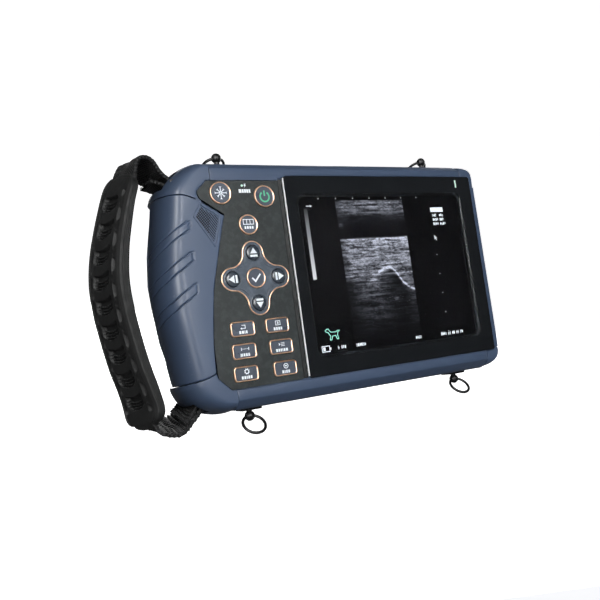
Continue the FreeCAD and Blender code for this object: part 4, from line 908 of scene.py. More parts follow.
def rectangular_cap(node):
    x, z = centre_mm(node)
    key_cap(node, lambda amount: rounded_rectangle(
        x, z, KEY_HALF_WIDTH - amount, KEY_HALF_HEIGHT - amount,
        max(KEY_CORNER - amount, 0.35)), *RIMMED)


for key, radius in ROUND_KEYS.items():
    round_cap(key, radius, 72, RIMMED)
for key in RECTANGULAR_KEYS:
    rectangular_cap(key)
for key in ARROW_KEYS:
    round_cap(key, DOME_RADIUS, 56, DOMED)

# ------------------------------------------------------------------ direction plate
# plate outline over an eighth of a turn: degrees from a lobe's axis, radius
LOBE = ((0, 19.3), (4, 19.2), (8, 18.85), (12, 18.25), (16, 17.4), (19, 16.5), (22, 15.3),
        (24, 14.4), (26, 13.6), (29, 12.85), (32, 12.4), (36, 12.0), (40, 11.75), (45, 11.65))
# closed profiles: copper edge as (outwards, depth), dome collar as (radius, depth)
COPPER_PROFILE = ((0.42, 0.38), (0.41, 0.1), (0.32, -0.05), (0.12, -0.13), (-0.1, -0.11),
                  (-0.24, -0.02), (-0.28, 0.1), (-0.28, 0.38))
COLLAR_PROFILE = ((5.0, 0.12), (4.8, -0.03), (4.5, -0.12), (4.22, -0.1), (4.12, 0.0),
                  (4.12, 0.3), (5.0, 0.3))


def direction_plate():
    """Copper outline, embossed contours between the lobes and a collar round each dome."""
    centre = np.array(centre_mm("dpad_plate"))
    angles = np.linspace(0, 2 * math.pi, 720, endpoint=False)
    fold = np.abs((np.degrees(angles) + 45.0) % 90.0 - 45.0)
    radii = np.interp(fold, *zip(*LOBE)) - 0.35
    # smooth the outline all the way round with a Gaussian
    reach = 16
    kernel = np.exp(-0.5 * (np.arange(-reach, reach + 1) / 3.0) ** 2)
    kernel /= kernel.sum()
    radii = np.convolve(np.r_[radii[-reach:], radii, radii[:reach]], kernel, "same")[reach:-reach]

    def polar(at, radius):
        return centre + np.stack([radius * np.cos(at), radius * np.sin(at)], 1)

    edge = resample(polar(angles, radii), 480, closed=True)
    outwards = -quarter_turn(unit(np.roll(edge, -1, 0) - np.roll(edge, 1, 0)))
    tube("dpad_copper_edge", sweep(edge, outwards, COPPER_PROFILE), COPPER, close=True,
         slot="plate")
    rise = np.sin(np.linspace(0, math.pi, 26)) ** 0.5
    profiles = [[(0.34, 0.1), (0.2, 0.03 - 0.11 * f), (0.0, 0.03 - 0.16 * f),
                 (-0.2, 0.03 - 0.11 * f), (-0.34, 0.1)] for f in rise]
    for k in range(4):
        middle = math.pi / 4 + k * math.pi / 2
        at = np.linspace(middle - 0.42, middle + 0.42, 26)
        radius = np.interp(at % (2 * math.pi), angles, radii, period=2 * math.pi) - 1.9
        path = polar(at, radius)
        outwards = -quarter_turn(unit(np.gradient(path, axis=0)))
        tube("dpad_emboss_%d" % k, sweep(path, outwards, profiles), PLATE, slot="plate")
    for node in ARROW_KEYS:
        collar = sweep(np.array([centre_mm(node)]), circle(0, 0, 1, 64), COLLAR_PROFILE)
        tube("collar_" + node, collar, PLATE, close=True, slot="plate")


direction_plate()


# ------------------------------------------------------------------ marks on the keys
# Generic pictograms and plain blocks, no lettering, drawn about each key's centre.
def caption(mark, widths, lift=0.0):
    """Centred row of blocks under a pictogram."""
    gap = 0.34
    widths = [1.25 * width for width in widths]
    total = sum(widths) + gap * (len(widths) - 1)
    mark.blocks(-total / 2, -2.55 + lift, 1.5, widths, gap)


def freeze_mark(mark):
    """Eight-armed star with a barb on each arm."""
    for k in range(8):
        angle = math.radians(90 + 45 * k)
        along = np.array([math.cos(angle), math.sin(angle)])
        across = quarter_turn(along) * 0.72
        tip = 3.3 if k % 2 == 0 else 2.7
        mark.line([along * 0.3, along * tip], 0.46)
        mark.polygon([along * (tip - 1.0), along * (tip + 0.15) + across,
                      along * (tip - 0.25), along * (tip + 0.15) - across])


def power_mark(mark):
    mark.line(arc(0, -0.3, 2.6, 124, 416, steps=48), 0.85)
    mark.line([(0, 0.1), (0, 3.0)], 0.85)


def cine_mark(mark):
    """Framed strip over a row of four blocks."""
    mark.line([(-2.9, 0.1), (2.9, 0.1), (2.9, 2.6), (-2.9, 2.6)], 0.38, closed=True)
    for x in (-0.95, 0.95):
        mark.line([(x, 0.1), (x, 2.6)], 0.32)
    mark.blocks(-2.55, -2.3, 1.4, (0.95,) * 4, 0.43)


def ok_mark(mark):
    mark.line([(-2.4, 0.1), (-0.65, -1.75), (2.5, 1.9)], 0.85)


def arrow_mark(mark):
    mark.polygon([(-2.0, -0.45), (2.0, -0.45), (0.0, 2.6)])
    mark.polygon([(-2.0, -2.2), (2.0, -2.2), (2.0, -1.1), (-2.0, -1.1)])


def exit_mark(mark):
    mark.line([(-0.9, 0.15), (1.3, 0.15), (1.3, 1.75), (-0.6, 1.75)], 0.34)
    mark.polygon([(-1.5, 0.15), (-0.5, 0.75), (-0.5, -0.45)])
    caption(mark, (0.9, 0.9, 0.35, 0.7), lift=0.1)


def measure_mark(mark):
    """Dashes between two uprights."""
    for x in (-1.7, 2.3):
        mark.line([(x, 0.35), (x, 1.85)], 0.36)
    mark.blocks(-1.15, 0.96, 0.3, (0.45,) * 4, 0.37)
    caption(mark, (1.1, 0.75, 0.75, 0.75))


def setup_mark(mark):
    """Toothed wheel."""
    mark.line(circle(0.3, 1.1, 1.0, 28), 0.42, closed=True)
    for i in range(8):
        angle = math.radians(i * 45 + 22.5)
        mark.line([(0.3 + r * math.cos(angle), 1.1 + r * math.sin(angle)) for r in (1.1, 1.5)], 0.4)
    caption(mark, (0.85, 0.75, 0.45, 0.75, 0.75))


def save_mark(mark):
    """Arrow pointing down in a box."""
    mark.line([(-1.0, 0.05), (1.6, 0.05), (1.6, 2.1), (-1.0, 2.1)], 0.32, closed=True)
    mark.polygon([(-0.35, 1.15), (0.95, 1.15), (0.3, 0.45)])
    mark.line([(0.3, 1.1), (0.3, 1.8)], 0.3)
    caption(mark, (0.85, 0.75, 0.75, 0.75))


def review_mark(mark):
    """Three bars beside a triangle."""
    for i in range(3):
        mark.rectangle(-0.2, 1.9, 0.2 + i * 0.72, 0.5 + i * 0.72)
    mark.polygon([(-1.4, 0.35), (-1.4, 1.95), (-0.5, 1.15)])
    caption(mark, (0.85, 0.7, 0.6, 0.35, 0.75, 0.9))


def disc_mark(mark):
    mark.line(circle(0.3, 1.1, 1.2, 30), 0.34, closed=True)
    mark.polygon(circle(0.3, 1.1, 0.42, 20))
    caption(mark, (0.9, 0.35, 0.75, 0.75))


CAP_MARK = (-0.24, -0.1)  # front and back depths
DOME_MARK = (-0.82, -0.42)
# key, drawing, material, depths, turn in degrees
KEY_MARKS = (
    ("freeze", freeze_mark, INK, CAP_MARK, 0),
    ("power", power_mark, GREEN_INK, CAP_MARK, 0),
    ("cine", cine_mark, INK, CAP_MARK, 0),
    ("ok", ok_mark, INK, CAP_MARK, 0),
    ("up", arrow_mark, INK, DOME_MARK, 0),
    ("right", arrow_mark, INK, DOME_MARK, -90),
    ("down", arrow_mark, INK, DOME_MARK, 180),
    ("left", arrow_mark, INK, DOME_MARK, 90),
    ("exit", exit_mark, INK, CAP_MARK, 0),
    ("measure", measure_mark, INK, CAP_MARK, 0),
    ("setup", setup_mark, INK, CAP_MARK, 0),
    ("save", save_mark, INK, CAP_MARK, 0),
    ("review", review_mark, INK, CAP_MARK, 0),
    ("disc", disc_mark, INK, CAP_MARK, 0),
)
for name, draw, material, depths, turn in KEY_MARKS:
    mark = Extrusion(*depths, origin=centre_mm("key_" + name), turn=turn)
    draw(mark)
    mark.build("mark_" + name, material, body="key_" + name, slot="led")


def indicator_mark():
    """Blocks below the status light and a small bolt beside it."""
    mark = Extrusion(0.32, 0.5, origin=centre_mm("status_led"))
    mark.blocks(-2.2, -3.9, 1.9, (1.5, 1.0, 1.0, 1.0, 1.0), 0.28)
    mark.polygon([(1.3, 0.9), (2.2, 0.9), (1.75, 0.15), (2.35, 0.15), (1.2, -1.1),
                  (1.5, -0.2), (0.95, -0.2)])
    mark.build("mark_indicator", INK, slot="led")


indicator_mark()

# ------------------------------------------------------------------ display: made-up scan
SCAN_LEFT, SCAN_RIGHT = -32.2, 14.9
SCAN_BOTTOM, SCAN_TOP = -40.6, 41.2
SCAN_COLUMNS, SCAN_ROWS = 200, 340
SCAN_DEPTH = 3.2
# noise layers as (cells across, cells down, gain)
SPECKLE = ((12, 60, 0.30), (30, 130, 0.34), (70, 250, 0.36))
STREAKS = ((4, 90, 0.6), (9, 150, 0.4))
# bright level lines as (z, thickness, gain)
ECHO_LINES = ((39.6, 0.35, 0.25), (37.4, 0.3, 0.22), (18.6, 0.4, 0.5), (16.4, 0.3, 0.22))
# bright spots as (x, z, width, height, gain)
ECHO_SPOTS = ((-31.0, 26.5, 2.6, 2.6, 0.4), (-14.5, -5.4, 4.2, 1.1, 0.65),
              (-23.0, -4.2, 5.0, 0.9, 0.3), (0.8, -16.8, 1.5, 0.8, 0.5))
# curved echo
CURVE_X = (-10, -8, -5, -2, 0.5, 3, 5, 7, 9.5, 12, 15)
CURVE_Z = (-1.2, -0.2, 1.1, 1.6, 0.9, -1.2, -4.2, -7.2, -9.3, -11.0, -12.4)


def layered_noise(layers, rng):
    total = 0
    for across, down, gain in layers:
        grid = rng.random((down + 3, across + 3))
        y, x = np.meshgrid(np.linspace(0, down, SCAN_ROWS), np.linspace(0, across, SCAN_COLUMNS),
                           indexing="ij")
        row, column = y.astype(int), x.astype(int)
        fy, fx = smoothstep(y - row), smoothstep(x - column)
        upper = grid[row, column] * (1 - fx) + grid[row, column + 1] * fx
        lower = grid[row + 1, column] * (1 - fx) + grid[row + 1, column + 1] * fx
        total = total + (upper * (1 - fy) + lower * fy) * gain
    return total


def scan_levels(x, z):
    """Grey level at each point of the scan."""
    rng = np.random.default_rng(21)
    speckle = layered_noise(SPECKLE, rng)
    texture = 0.55 * speckle + 0.45 * layered_noise(STREAKS, rng)
    texture = np.clip((texture - 0.34) / 0.34, 0, 1)

    def band(low, high, softness):
        return 1 / (1 + np.exp(-(z - low) / softness)) / (1 + np.exp((z - high) / softness))

    echo = band(33.0, 46.0, 0.9) * 0.42 + band(27.5, 33.5, 1.4) * 0.14
    echo += band(-2.0, 19.2, 0.35) * (0.50 + 0.012 * (z + 2.0))
    for line_z, thickness, gain in ECHO_LINES:
        echo += gauss(z, line_z, thickness) * gain
    for spot_x, spot_z, width, height, gain in ECHO_SPOTS:
        echo += gauss(z, spot_z, height) * gauss(x, spot_x, width) * gain
    echo += (z <= -1.6) * (0.10 + 0.36 * np.clip((z + 42) / 40.0, 0, 1) ** 1.7)
    # curved echo with a shadow below it
    below = np.interp(x, CURVE_X, CURVE_Z, left=-2.0) - z
    inside = x > -9.5
    echo += inside * gauss(below, 0.0, 0.75) * 0.75
    shadow = np.clip(below / 3.0, 0, 1) * np.exp(-np.clip(below, 0, 50) / 18.0)
    echo -= inside * shadow * gauss(x, 1.5, 9.0) * 0.42
    echo += (x > -8) * gauss(z, 3.9 + 0.03 * x, 0.42) * 0.4
    # texture, then darkening towards the left side, the lower left and the bottom
    level = np.clip(echo, 0, 1.3) * (0.28 + 0.95 * texture)
    level *= np.clip((x - SCAN_LEFT) / 5.0, 0, 1) * 0.45 + 0.55
    level *= np.where(z < -5.0, 0.4 + 0.6 * np.clip((x - SCAN_LEFT) / 18.0, 0, 1), 1.0)
    level *= np.clip((z + 43.0) / 14.0, 0.0, 1.0)
    return np.clip(level * 1.06, 0, 1) ** 1.95


def scan_glow():
    s = Shader("scan_glow")
    attribute = s.node("Attribute")
    attribute.attribute_name = "scan"
    grain = s.patches(s.stretched(s.coords(), (1.0, 1.0, 2.0)), (0.3, 0.6), (0.7, 1.25),
                      scale=1700.0, detail=2.0)
    glow = s.mix(1.0, attribute.outputs["Color"], grain, blend="MULTIPLY")
    return s.surface(emission_color=glow, emission_strength=1.0,
                     base_color=(0.003, 0.003, 0.004), roughness=0.5, specular_ior_level=0.05)


def scan():
    x, z = np.meshgrid(np.linspace(SCAN_LEFT, SCAN_RIGHT, SCAN_COLUMNS),
                       np.linspace(SCAN_TOP, SCAN_BOTTOM, SCAN_ROWS))
    points = at_depth(np.stack([x.ravel(), z.ravel()], 1), SCAN_DEPTH)
    sheet = make_object("display_scan", points, grid_faces(SCAN_ROWS, SCAN_COLUMNS), scan_glow(),
                        smooth=False, slot="display")
    colours = np.ones((len(points), 4), np.float32)
    colours[:, :3] = scan_levels(x, z).reshape(-1, 1) * (0.82, 0.85, 1.0)
    attribute = sheet.data.color_attributes.new("scan", "FLOAT_COLOR", "POINT")
    attribute.data.foreach_set("color", colours.ravel())
    solidify = sheet.modifiers.new("thick", "SOLIDIFY")
    solidify.thickness = 0.00004
    solidify.offset = 0.0


scan()

# ------------------------------------------------------------------ display: interface marks
SCREEN_WHITE = printed("interface_white", (0.8, 0.83, 0.85), glow=0.62)
SCREEN_GREEN = printed("interface_green", (0.35, 0.85, 0.68), glow=0.6)
SCREEN_MARK = (3.16, 3.22)  # front and back depths
# rows of strokes as (x, z, height, cells); a blank cell is a gap
STROKE_ROWS = (
    (36.6, 30.5, 1.7, "xxx  xxx"), (36.6, 27.9, 1.7, "xxxx xxx"), (36.6, 25.3, 1.7, "xxxx xxxx"),
)
BOTTOM_STROKE_ROWS = (
    (-43.5, -41.0, 1.9, "x xxx"), (-31.4, -41.0, 1.9, "xxxxxx"), (10.4, -41.4, 1.9, "xxxx"),
    (29.6, -41.4, 1.9, "xxxx xx xx xx xx"),
)
# outline of the green pictogram about its own origin, (x, z)
PICTOGRAM = (
    (0.0, 5.4), (0.9, 6.2), (1.9, 6.3), (2.6, 5.3), (3.4, 4.4), (6.4, 4.3), (7.8, 5.0),
    (9.2, 4.9), (7.9, 4.2), (7.4, 2.8), (7.9, 0.4), (6.9, 0.4), (6.2, 2.4), (4.2, 2.2),
    (3.4, 0.2), (2.4, 0.2), (3.0, 2.3), (2.3, 3.2), (1.6, 4.4), (0.3, 4.7),
)
GREY_BAR_BOTTOM, GREY_BAR_TOP = -2.2, 37.0


def strokes(marks, rows, rng):
    """Uneven upright strokes with a cross stroke: a line of print that spells nothing."""
    for x, z, height, cells in rows:
        for cell in cells:
            if cell != " ":
                for left in (x, x + 0.48):
                    low = rng.uniform(0.0, 0.35) * height
                    high = rng.uniform(0.65, 1.0) * height
                    marks.rectangle(left, left + 0.26, z + low, z + high)
                start, end = (z + height * (0.0 if rng.random() < 0.5 else 0.8) for _ in range(2))
                marks.rectangle(x, x + 0.74, start, end + 0.2)
            x += 1.08


def interface_marks():
    marks = Extrusion(*SCREEN_MARK)
    # arrow at the upper left
    marks.line([(-51.4, 38.4), (-48.6, 38.4)], 0.35)
    marks.polygon([(-48.9, 39.0), (-48.9, 37.8), (-47.6, 38.4)])
    # dots across the top and down the right side
    for i in range(7):
        marks.rectangle(-43.2 + 11.5 * i, -42.8 + 11.5 * i, 42.2, 42.7)
    for i in range(5):
        marks.rectangle(35.4, 35.8, 7.0 - 11.6 * i, 7.4 - 11.6 * i)
    # bar, rows of strokes and pointer on the right
    rng = np.random.default_rng(5)
    marks.rectangle(35.6, 45.4, 33.4, 36.2)
    strokes(marks, STROKE_ROWS, rng)
    marks.polygon([(35.6, 19.2), (35.6, 16.4), (36.3, 17.1), (36.9, 15.9), (37.3, 16.1),
                   (36.8, 17.3), (37.7, 17.3)])
    # battery at the lower left
    marks.line([(-53.6, -41.6), (-48.9, -41.6), (-48.9, -38.6), (-53.6, -38.6)], 0.4, closed=True)
    marks.rectangle(-48.6, -47.9, -40.7, -39.5)
    marks.rectangle(-53.0, -51.6, -41.1, -39.1)
    strokes(marks, BOTTOM_STROKE_ROWS, rng)
    marks.build("display_marks", SCREEN_WHITE, slot="display")

    pictogram = Extrusion(*SCREEN_MARK, origin=(-50.2, -35.8))
    pictogram.line(PICTOGRAM, 0.32, closed=True)
    pictogram.build("display_pictogram", SCREEN_GREEN, slot="display")


def grey_scale():
    """64 grey steps up the bar, from white at the bottom to black at the top."""
    s = Shader("grey_scale")
    z = s.split(s.coords())["Z"]
    share = s.times(s.plus(z, -GREY_BAR_BOTTOM / 1000),
                    1000.0 / (GREY_BAR_TOP - GREY_BAR_BOTTOM))
    steps = s.math("DIVIDE", s.math("FLOOR", s.times(share, 64.0)), 64.0)
    glow = s.ramp(steps, (0.0, (0.92, 0.93, 0.95)), (0.45, (0.42, 0.43, 0.46)),
                  (1.0, (0.01, 0.01, 0.012)))
    return s.surface(emission_color=glow, emission_strength=0.85, base_color=(0.01, 0.01, 0.01))


def grey_bar():
    bar = Extrusion(*SCREEN_MARK)
    bar.rectangle(-53.1, -50.9, GREY_BAR_BOTTOM, GREY_BAR_TOP)
    bar.build("display_grey_scale", grey_scale(), slot="display")


interface_marks()
grey_bar()


def step_shade_strip():
    """Near-black upright strip over the step between the keypad film and the bright trim: painted
    shade where the step wall lies in shadow.
    """
    profile = ((-68.42, 1.75), (-68.42, 1.3), (-68.3, 1.12), (-67.6, 0.9), (-66.6, 0.62),
               (-65.95, 0.45), (-65.78, 0.5), (-65.78, 1.75))  # (x, depth)
    bottom, top = -53.6, 52.6
    rows = []
    for z in (bottom, -53.45, -53.1, *np.linspace(-50.0, 49.0, 24), 52.1, 52.45, top):
        sink = 0.12 if z in (bottom, top) else 0.0
        rows.append([(x, depth + sink, z) for x, depth in profile])
    tube("step_shade_strip", rows, GAP, slot="bezel", sharp_angle=40)


step_shade_strip()

# ------------------------------------------------------------------ moulded hand pad
# outer and inner faces of the pad from bottom to top, (x, z)
PAD_OUTER = ((-147.2, -66.0), (-146.2, -57.0), (-147.7, -48.0), (-150.4, -38.0), (-152.4, -28.2),
             (-154.0, -18.5), (-155.4, -8.8), (-156.1, 5.7), (-154.4, 20.0), (-151.6, 32.2),
             (-147.9, 44.5), (-143.6, 56.0))
PAD_INNER = ((-142.9, -66.0), (-142.0, -57.0), (-142.8, -48.7), (-145.2, -38.7), (-147.3, -28.8),
             (-148.9, -19.0), (-150.2, -9.2), (-151.0, 5.4), (-149.4, 20.0), (-146.8, 32.2),
             (-143.6, 44.5), (-139.8, 55.0))
PAD_FRONT, PAD_BACK = 8.1, 35.9  # depths
PAD_LEAN = 8.8 / 28.0  # how far the pad moves out per unit of depth
WINDOW_PITCH = 12.3
WINDOW_X = 1.1  # window centre, behind the pad's middle depth
WINDOW_HALF_LENGTH, WINDOW_HALF_WIDTH, WINDOW_CORNER = 3.7, 6.9, 1.8


def pad_section():
    """Closed section as (across from -1 front to 1 back, through from 0 inner to 1 outer)."""
    outer = [(x, 1.0) for x in np.linspace(-0.93, 0.93, 96)]
    back = [(0.93 + 0.07 * math.sin(a), 0.86 + 0.14 * math.cos(a))
            for a in np.radians((20, 45, 70))]
    back += [(1.0, y) for y in np.linspace(0.84, 0.16, 12)]
    back += [(0.94 + 0.06 * math.cos(a), 0.14 - 0.14 * math.sin(a))
             for a in np.radians((20, 50, 75))]
    inner = [(x, 0.0) for x in np.linspace(0.92, -0.92, 30)]
    return np.array(outer + back + inner + [(-x, y) for x, y in back[::-1]])


def pad_relief(x, half, along, length, from_end, front_half, back_half):
    """Relief of the outer face; x is the depth from the pad's middle."""
    # bead near each edge, with a fine groove inside it
    bead = np.abs(x) - (half * 0.93 - 0.55)
    edges = 0.42 * gauss(bead, 0.0, 0.30) - 0.38 * gauss(bead, -0.95, 0.34)

    def phase(offset):
        shifted = along - length / 2 + offset + WINDOW_PITCH / 2
        return shifted % WINDOW_PITCH - WINDOW_PITCH / 2

    # round-cornered windows with three bowed ribs in each
    across = x - WINDOW_X
    bowed = phase(0.0) + 0.9 - 1.6 * (across / 6.5) ** 2 + 0.09 * across
    out_length = np.abs(bowed) - WINDOW_HALF_LENGTH
    out_width = np.abs(across) - WINDOW_HALF_WIDTH * np.minimum(1.0, (from_end - 2.0) / 9.0)
    corner = (out_length > -WINDOW_CORNER) & (out_width > -WINDOW_CORNER)
    rounded = np.hypot(out_length + WINDOW_CORNER, out_width + WINDOW_CORNER) - WINDOW_CORNER
    outside = np.where(corner, rounded, np.maximum(out_length, out_width))
    rib = np.max([np.exp(-((bowed - c) / 0.36) ** 4) for c in (-2.55, -1.05, 0.45)], axis=0)
    comb = 0.86 + 0.14 * np.cos(across * 2.4)
    middle = -smoothstep(-outside / 0.4) * (2.3 - 1.75 * rib * comb)
    # crescent slots on both sides of the windows, each with a lip on the side nearer them
    for slot_x, offset, room in ((-9.4, WINDOW_PITCH / 2, front_half),
                                 (9.9, WINDOW_PITCH / 2 - 1.2, back_half)):
        place = phase(offset)
        from_slot = x - (slot_x - np.sign(slot_x) * 0.035 * place ** 2)
        radius = np.hypot(place / 3.5, from_slot / 1.15)
        lip = gauss(radius, 1.35, 0.2) * (from_slot * -slot_x > -0.6)
        slot = 0.38 * lip - 1.7 * smoothstep((1.05 - radius) / 0.3)
        middle += slot * (abs(slot_x) <= room * 0.93 - 1.2)
    return edges + middle * (from_end > 6.5)


def end_cap(ring, outwards, steps=6):
    """Rings that close in on the centre as they move outwards."""
    centre = ring.mean(0)
    angles = [k / steps * math.pi / 2 for k in range(1, steps + 1)]
    return [centre + (ring - centre) * (math.cos(a) * 0.999 + 0.001)
            + unit(outwards) * math.sin(a) * 2.8 for a in angles]


def hand_pad():
    """Rubber pad with ribbed windows, crescent slots, edge beads and rounded ends."""
    outer, inner = spline(PAD_OUTER, 500), spline(PAD_INNER, 500)
    centre = (outer + inner) / 2
    along = arc_length(centre)[:, None]
    length = along[-1, 0]
    from_end = np.minimum(along, length - along)
    across, through = pad_section().T

    def rounding(distance, reach, least):
        return least + (1 - least) * np.sqrt(1 - np.clip(1 - distance / reach, 0, 1) ** 2)

    # both ends are rounded more on the back edge than on the front edge
    half_depth = (PAD_BACK - PAD_FRONT) / 2
    back_half = half_depth * np.minimum(rounding(along, 12.0, 0.42),
                                        rounding(length - along, 9.0, 0.5))
    front_half = half_depth * np.minimum(rounding(along, 6.0, 0.7),
                                         rounding(length - along, 6.0, 0.7))
    half = np.where(across >= 0, back_half, front_half)
    x = across * half
    thickness = np.linalg.norm(outer - inner, axis=1, keepdims=True)
    offset = (through - 0.5) * thickness * rounding(from_end, 7.0, 0.55)
    on_outer = through > 0.98
    offset = offset + (0.6 * on_outer + 0.25 * (through < 0.02)) * (1 - across ** 2)
    offset += on_outer * pad_relief(x, half, along, length, from_end, front_half, back_half)
    # fine lines along the front and back edges
    on_edge = (np.abs(across) > 0.985) & (through > 0.14) & (through < 0.86)
    depth = (PAD_FRONT + PAD_BACK) / 2 + x + np.sign(across) * on_edge * 0.12 * np.sin(through * 36)
    flat = centre[:, None] + unit(outer - inner)[:, None] * offset[..., None]
    # the back edge rises near the top, the front edge near the bottom
    rise = 6.5 * smoothstep((along - (length - 42.0)) / 42.0)
    front_rise = 2.6 * smoothstep(1.0 - along / 18.0)
    share = (depth - 8.0) / 28.0
    up = rise * share + front_rise * (1.0 - share)
    rings = np.stack([flat[..., 0] - PAD_LEAN * (depth - 8.0) + 0.42 * up, depth,
                      flat[..., 1] + up], -1)
    bottom = end_cap(rings[0], rings[0].mean(0) - rings[3].mean(0))[::-1]
    top = end_cap(rings[-1], rings[-1].mean(0) - rings[-4].mean(0))
    tube("hand_pad_moulded", np.concatenate([bottom, rings, top]), PAD_RUBBER,
         slot="strap_pad", replaces="hand_pad")


hand_pad()

# ------------------------------------------------------------------ nylon webbing
# Paths. Columns: x, z, and how far the back edge is moved from the front edge in x and in z.
TOP_PATH = (
    (-144.2, 46.5, -7.0, 0.0), (-141.9, 54.0, -5.4, 1.0), (-141.6, 58.9, -3.8, 2.0),
    (-140.6, 63.3, -2.6, 2.4), (-138.5, 66.2, -2.4, 2.6), (-135.3, 66.8, -2.8, 2.6),
    (-132.6, 66.1, -3.4, 0.0), (-130.3, 64.3, -3.9, -1.5), (-127.9, 60.7, -4.1, -0.2),
    (-125.4, 57.8, -4.1, 1.5), (-123.2, 56.0, -2.5, 1.5), (-121.8, 54.4, -1.0, 0.8),
    (-121.5, 52.8, 0.0, 0.0), (-122.4, 51.2, 0.0, 0.0),
)
BOTTOM_PATH = (
    (-145.6, -57.5, -7.0, 0.0), (-146.0, -62.3, -6.4, 1.0), (-145.1, -66.1, -5.6, 2.8),
    (-144.0, -68.8, -4.8, 4.6), (-141.2, -70.5, -3.8, 5.9), (-138.1, -71.5, -2.8, 6.8),
    (-134.7, -72.0, -1.8, 7.2), (-131.8, -71.2, -1.0, 7.0), (-129.4, -69.7, -0.5, 6.5),
    (-125.7, -66.1, 0.0, 5.6), (-122.9, -62.9, 0.0, 4.4), (-121.2, -59.8, 0.0, 2.8),
    (-120.9, -57.2, 0.0, 1.4), (-122.0, -54.8, 0.0, 0.0),
)
TOP_TAIL = ((-122.6, 52.6, 0, 0), (-125.5, 53.6, 0, 0), (-128.6, 54.8, 0, 0),
            (-132.0, 56.0, 0, 0))
BOTTOM_TAIL = ((-122.5, -56.5, 0.0, 1.6), (-124.5, -60.5, 0.0, 4.0), (-127.5, -64.5, 0.4, 5.4),
               (-130.5, -67.2, 0.8, 5.8))
TOP_FLAP = ((-121.5, 51.5, 0.0, 0.0), (-125.5, 50.6, 0.6, 0.0), (-128.8, 49.6, 1.6, 0.0),
            (-130.6, 47.0, 3.2, 0.0), (-131.0, 43.8, 4.0, 0.0))


def webbing_section():
    """Closed section as (across from -1 front to 1 back, side from -1 to 1)."""
    face = np.linspace(-0.985, 0.985, 72)
    return np.array([*((x, 1.0) for x in face), (1.0, 0.5), (1.0, -0.5),
                     *((x, -1.0) for x in face[::-1]), (-1.0, -0.5), (-1.0, 0.5)])


def webbing(name, table, front, back, thick, rows, ridge, replaces=None, start_width=1.0,
            front_shift=0.0):
    """Flat woven band along a path; returns its rings.

    ridge is the cross ridges' (height, pitch, share of the length where they start, and end).
    """
    table = np.array(table, float)
    path = spline(table[:, :2], rows)
    given = arc_length(table[:, :2])
    along = arc_length(path)
    share = along / along[-1]
    lean = interpolate(share, given / given[-1], table[:, 2:])
    normal = quarter_turn(unit(np.gradient(path, axis=0)))
    across, side = webbing_section().T

    along, share = along[:, None], share[:, None]
    near = front + front_shift * smoothstep((share - 0.42) / 0.3)
    width = start_width + (1 - start_width) * smoothstep((share - 0.12) / 0.2)
    x = across * (back - near) / 2 * width
    yarn = 0.10 * np.sin(along * math.pi / 0.85) * np.sin(x * math.pi / 0.95)
    selvedge = 0.18 * (np.abs(across) > 0.93)
    height, pitch, start, end = ridge
    extent = smoothstep((share - start) / 0.12) * smoothstep((end - share) / 0.12)
    wander = along + 0.5 * np.sin(along * 0.7) + 0.35 * np.sin(x * 0.4)
    lift = (height * extent * (np.abs(np.sin(math.pi * wander / pitch)) ** 0.7 - 0.5) * 2
            * (0.35 + 0.65 * smoothstep((across + 0.95) / 0.5)))
    lift += (0.3 * np.sin(x * 0.33 + along * 0.21)
             * smoothstep(share * 4) * smoothstep((1 - share) * 4))
    offset = side * thick / 2 + side * (yarn + selvedge) + lift
    depth = (near + back) / 2 + x
    lean_share = (depth - front) / (back - front)
    flat = (path[:, None] + normal[:, None] * offset[..., None]
            + lean[:, None] * lean_share[..., None])
    rings = np.stack([flat[..., 0], depth, flat[..., 1]], -1)
    uvs = np.stack([np.broadcast_to(along, x.shape), x + 20], -1)
    tube(name, rings, WEBBING, uvs=uvs.reshape(-1, 2), slot="webbing", replaces=replaces)
    return rings


webbing("webbing_top", TOP_PATH, front=10.8, back=36.2, thick=1.5, rows=230,
        ridge=(0.14, 2.4, 0.35, 0.95), replaces="strap_webbing_top", start_width=0.8,
        front_shift=2.1)
webbing("webbing_bottom", BOTTOM_PATH, front=10.8, back=36.2, thick=1.5, rows=280,
        ridge=(0.62, 2.7, 0.16, 0.97), replaces="strap_webbing_bottom", start_width=0.8,
        front_shift=2.1)
# turned-back loose ends
top_tail = webbing("webbing_tail_top", TOP_TAIL, front=16.0, back=33.0, thick=1.3, rows=80,
                   ridge=(0.16, 2.2, 0.3, 0.95))
bottom_tail = webbing("webbing_tail_bottom", BOTTOM_TAIL, front=13.4, back=36.0, thick=1.3,
                      rows=80, ridge=(0.38, 2.3, 0.2, 0.95))
# end of the turned-back layer lying on the flank of the upper bumper
webbing("webbing_flap_top", TOP_FLAP, front=17.0, back=36.0, thick=1.0, rows=90,
        ridge=(0.1, 2.0, 0.2, 0.9))


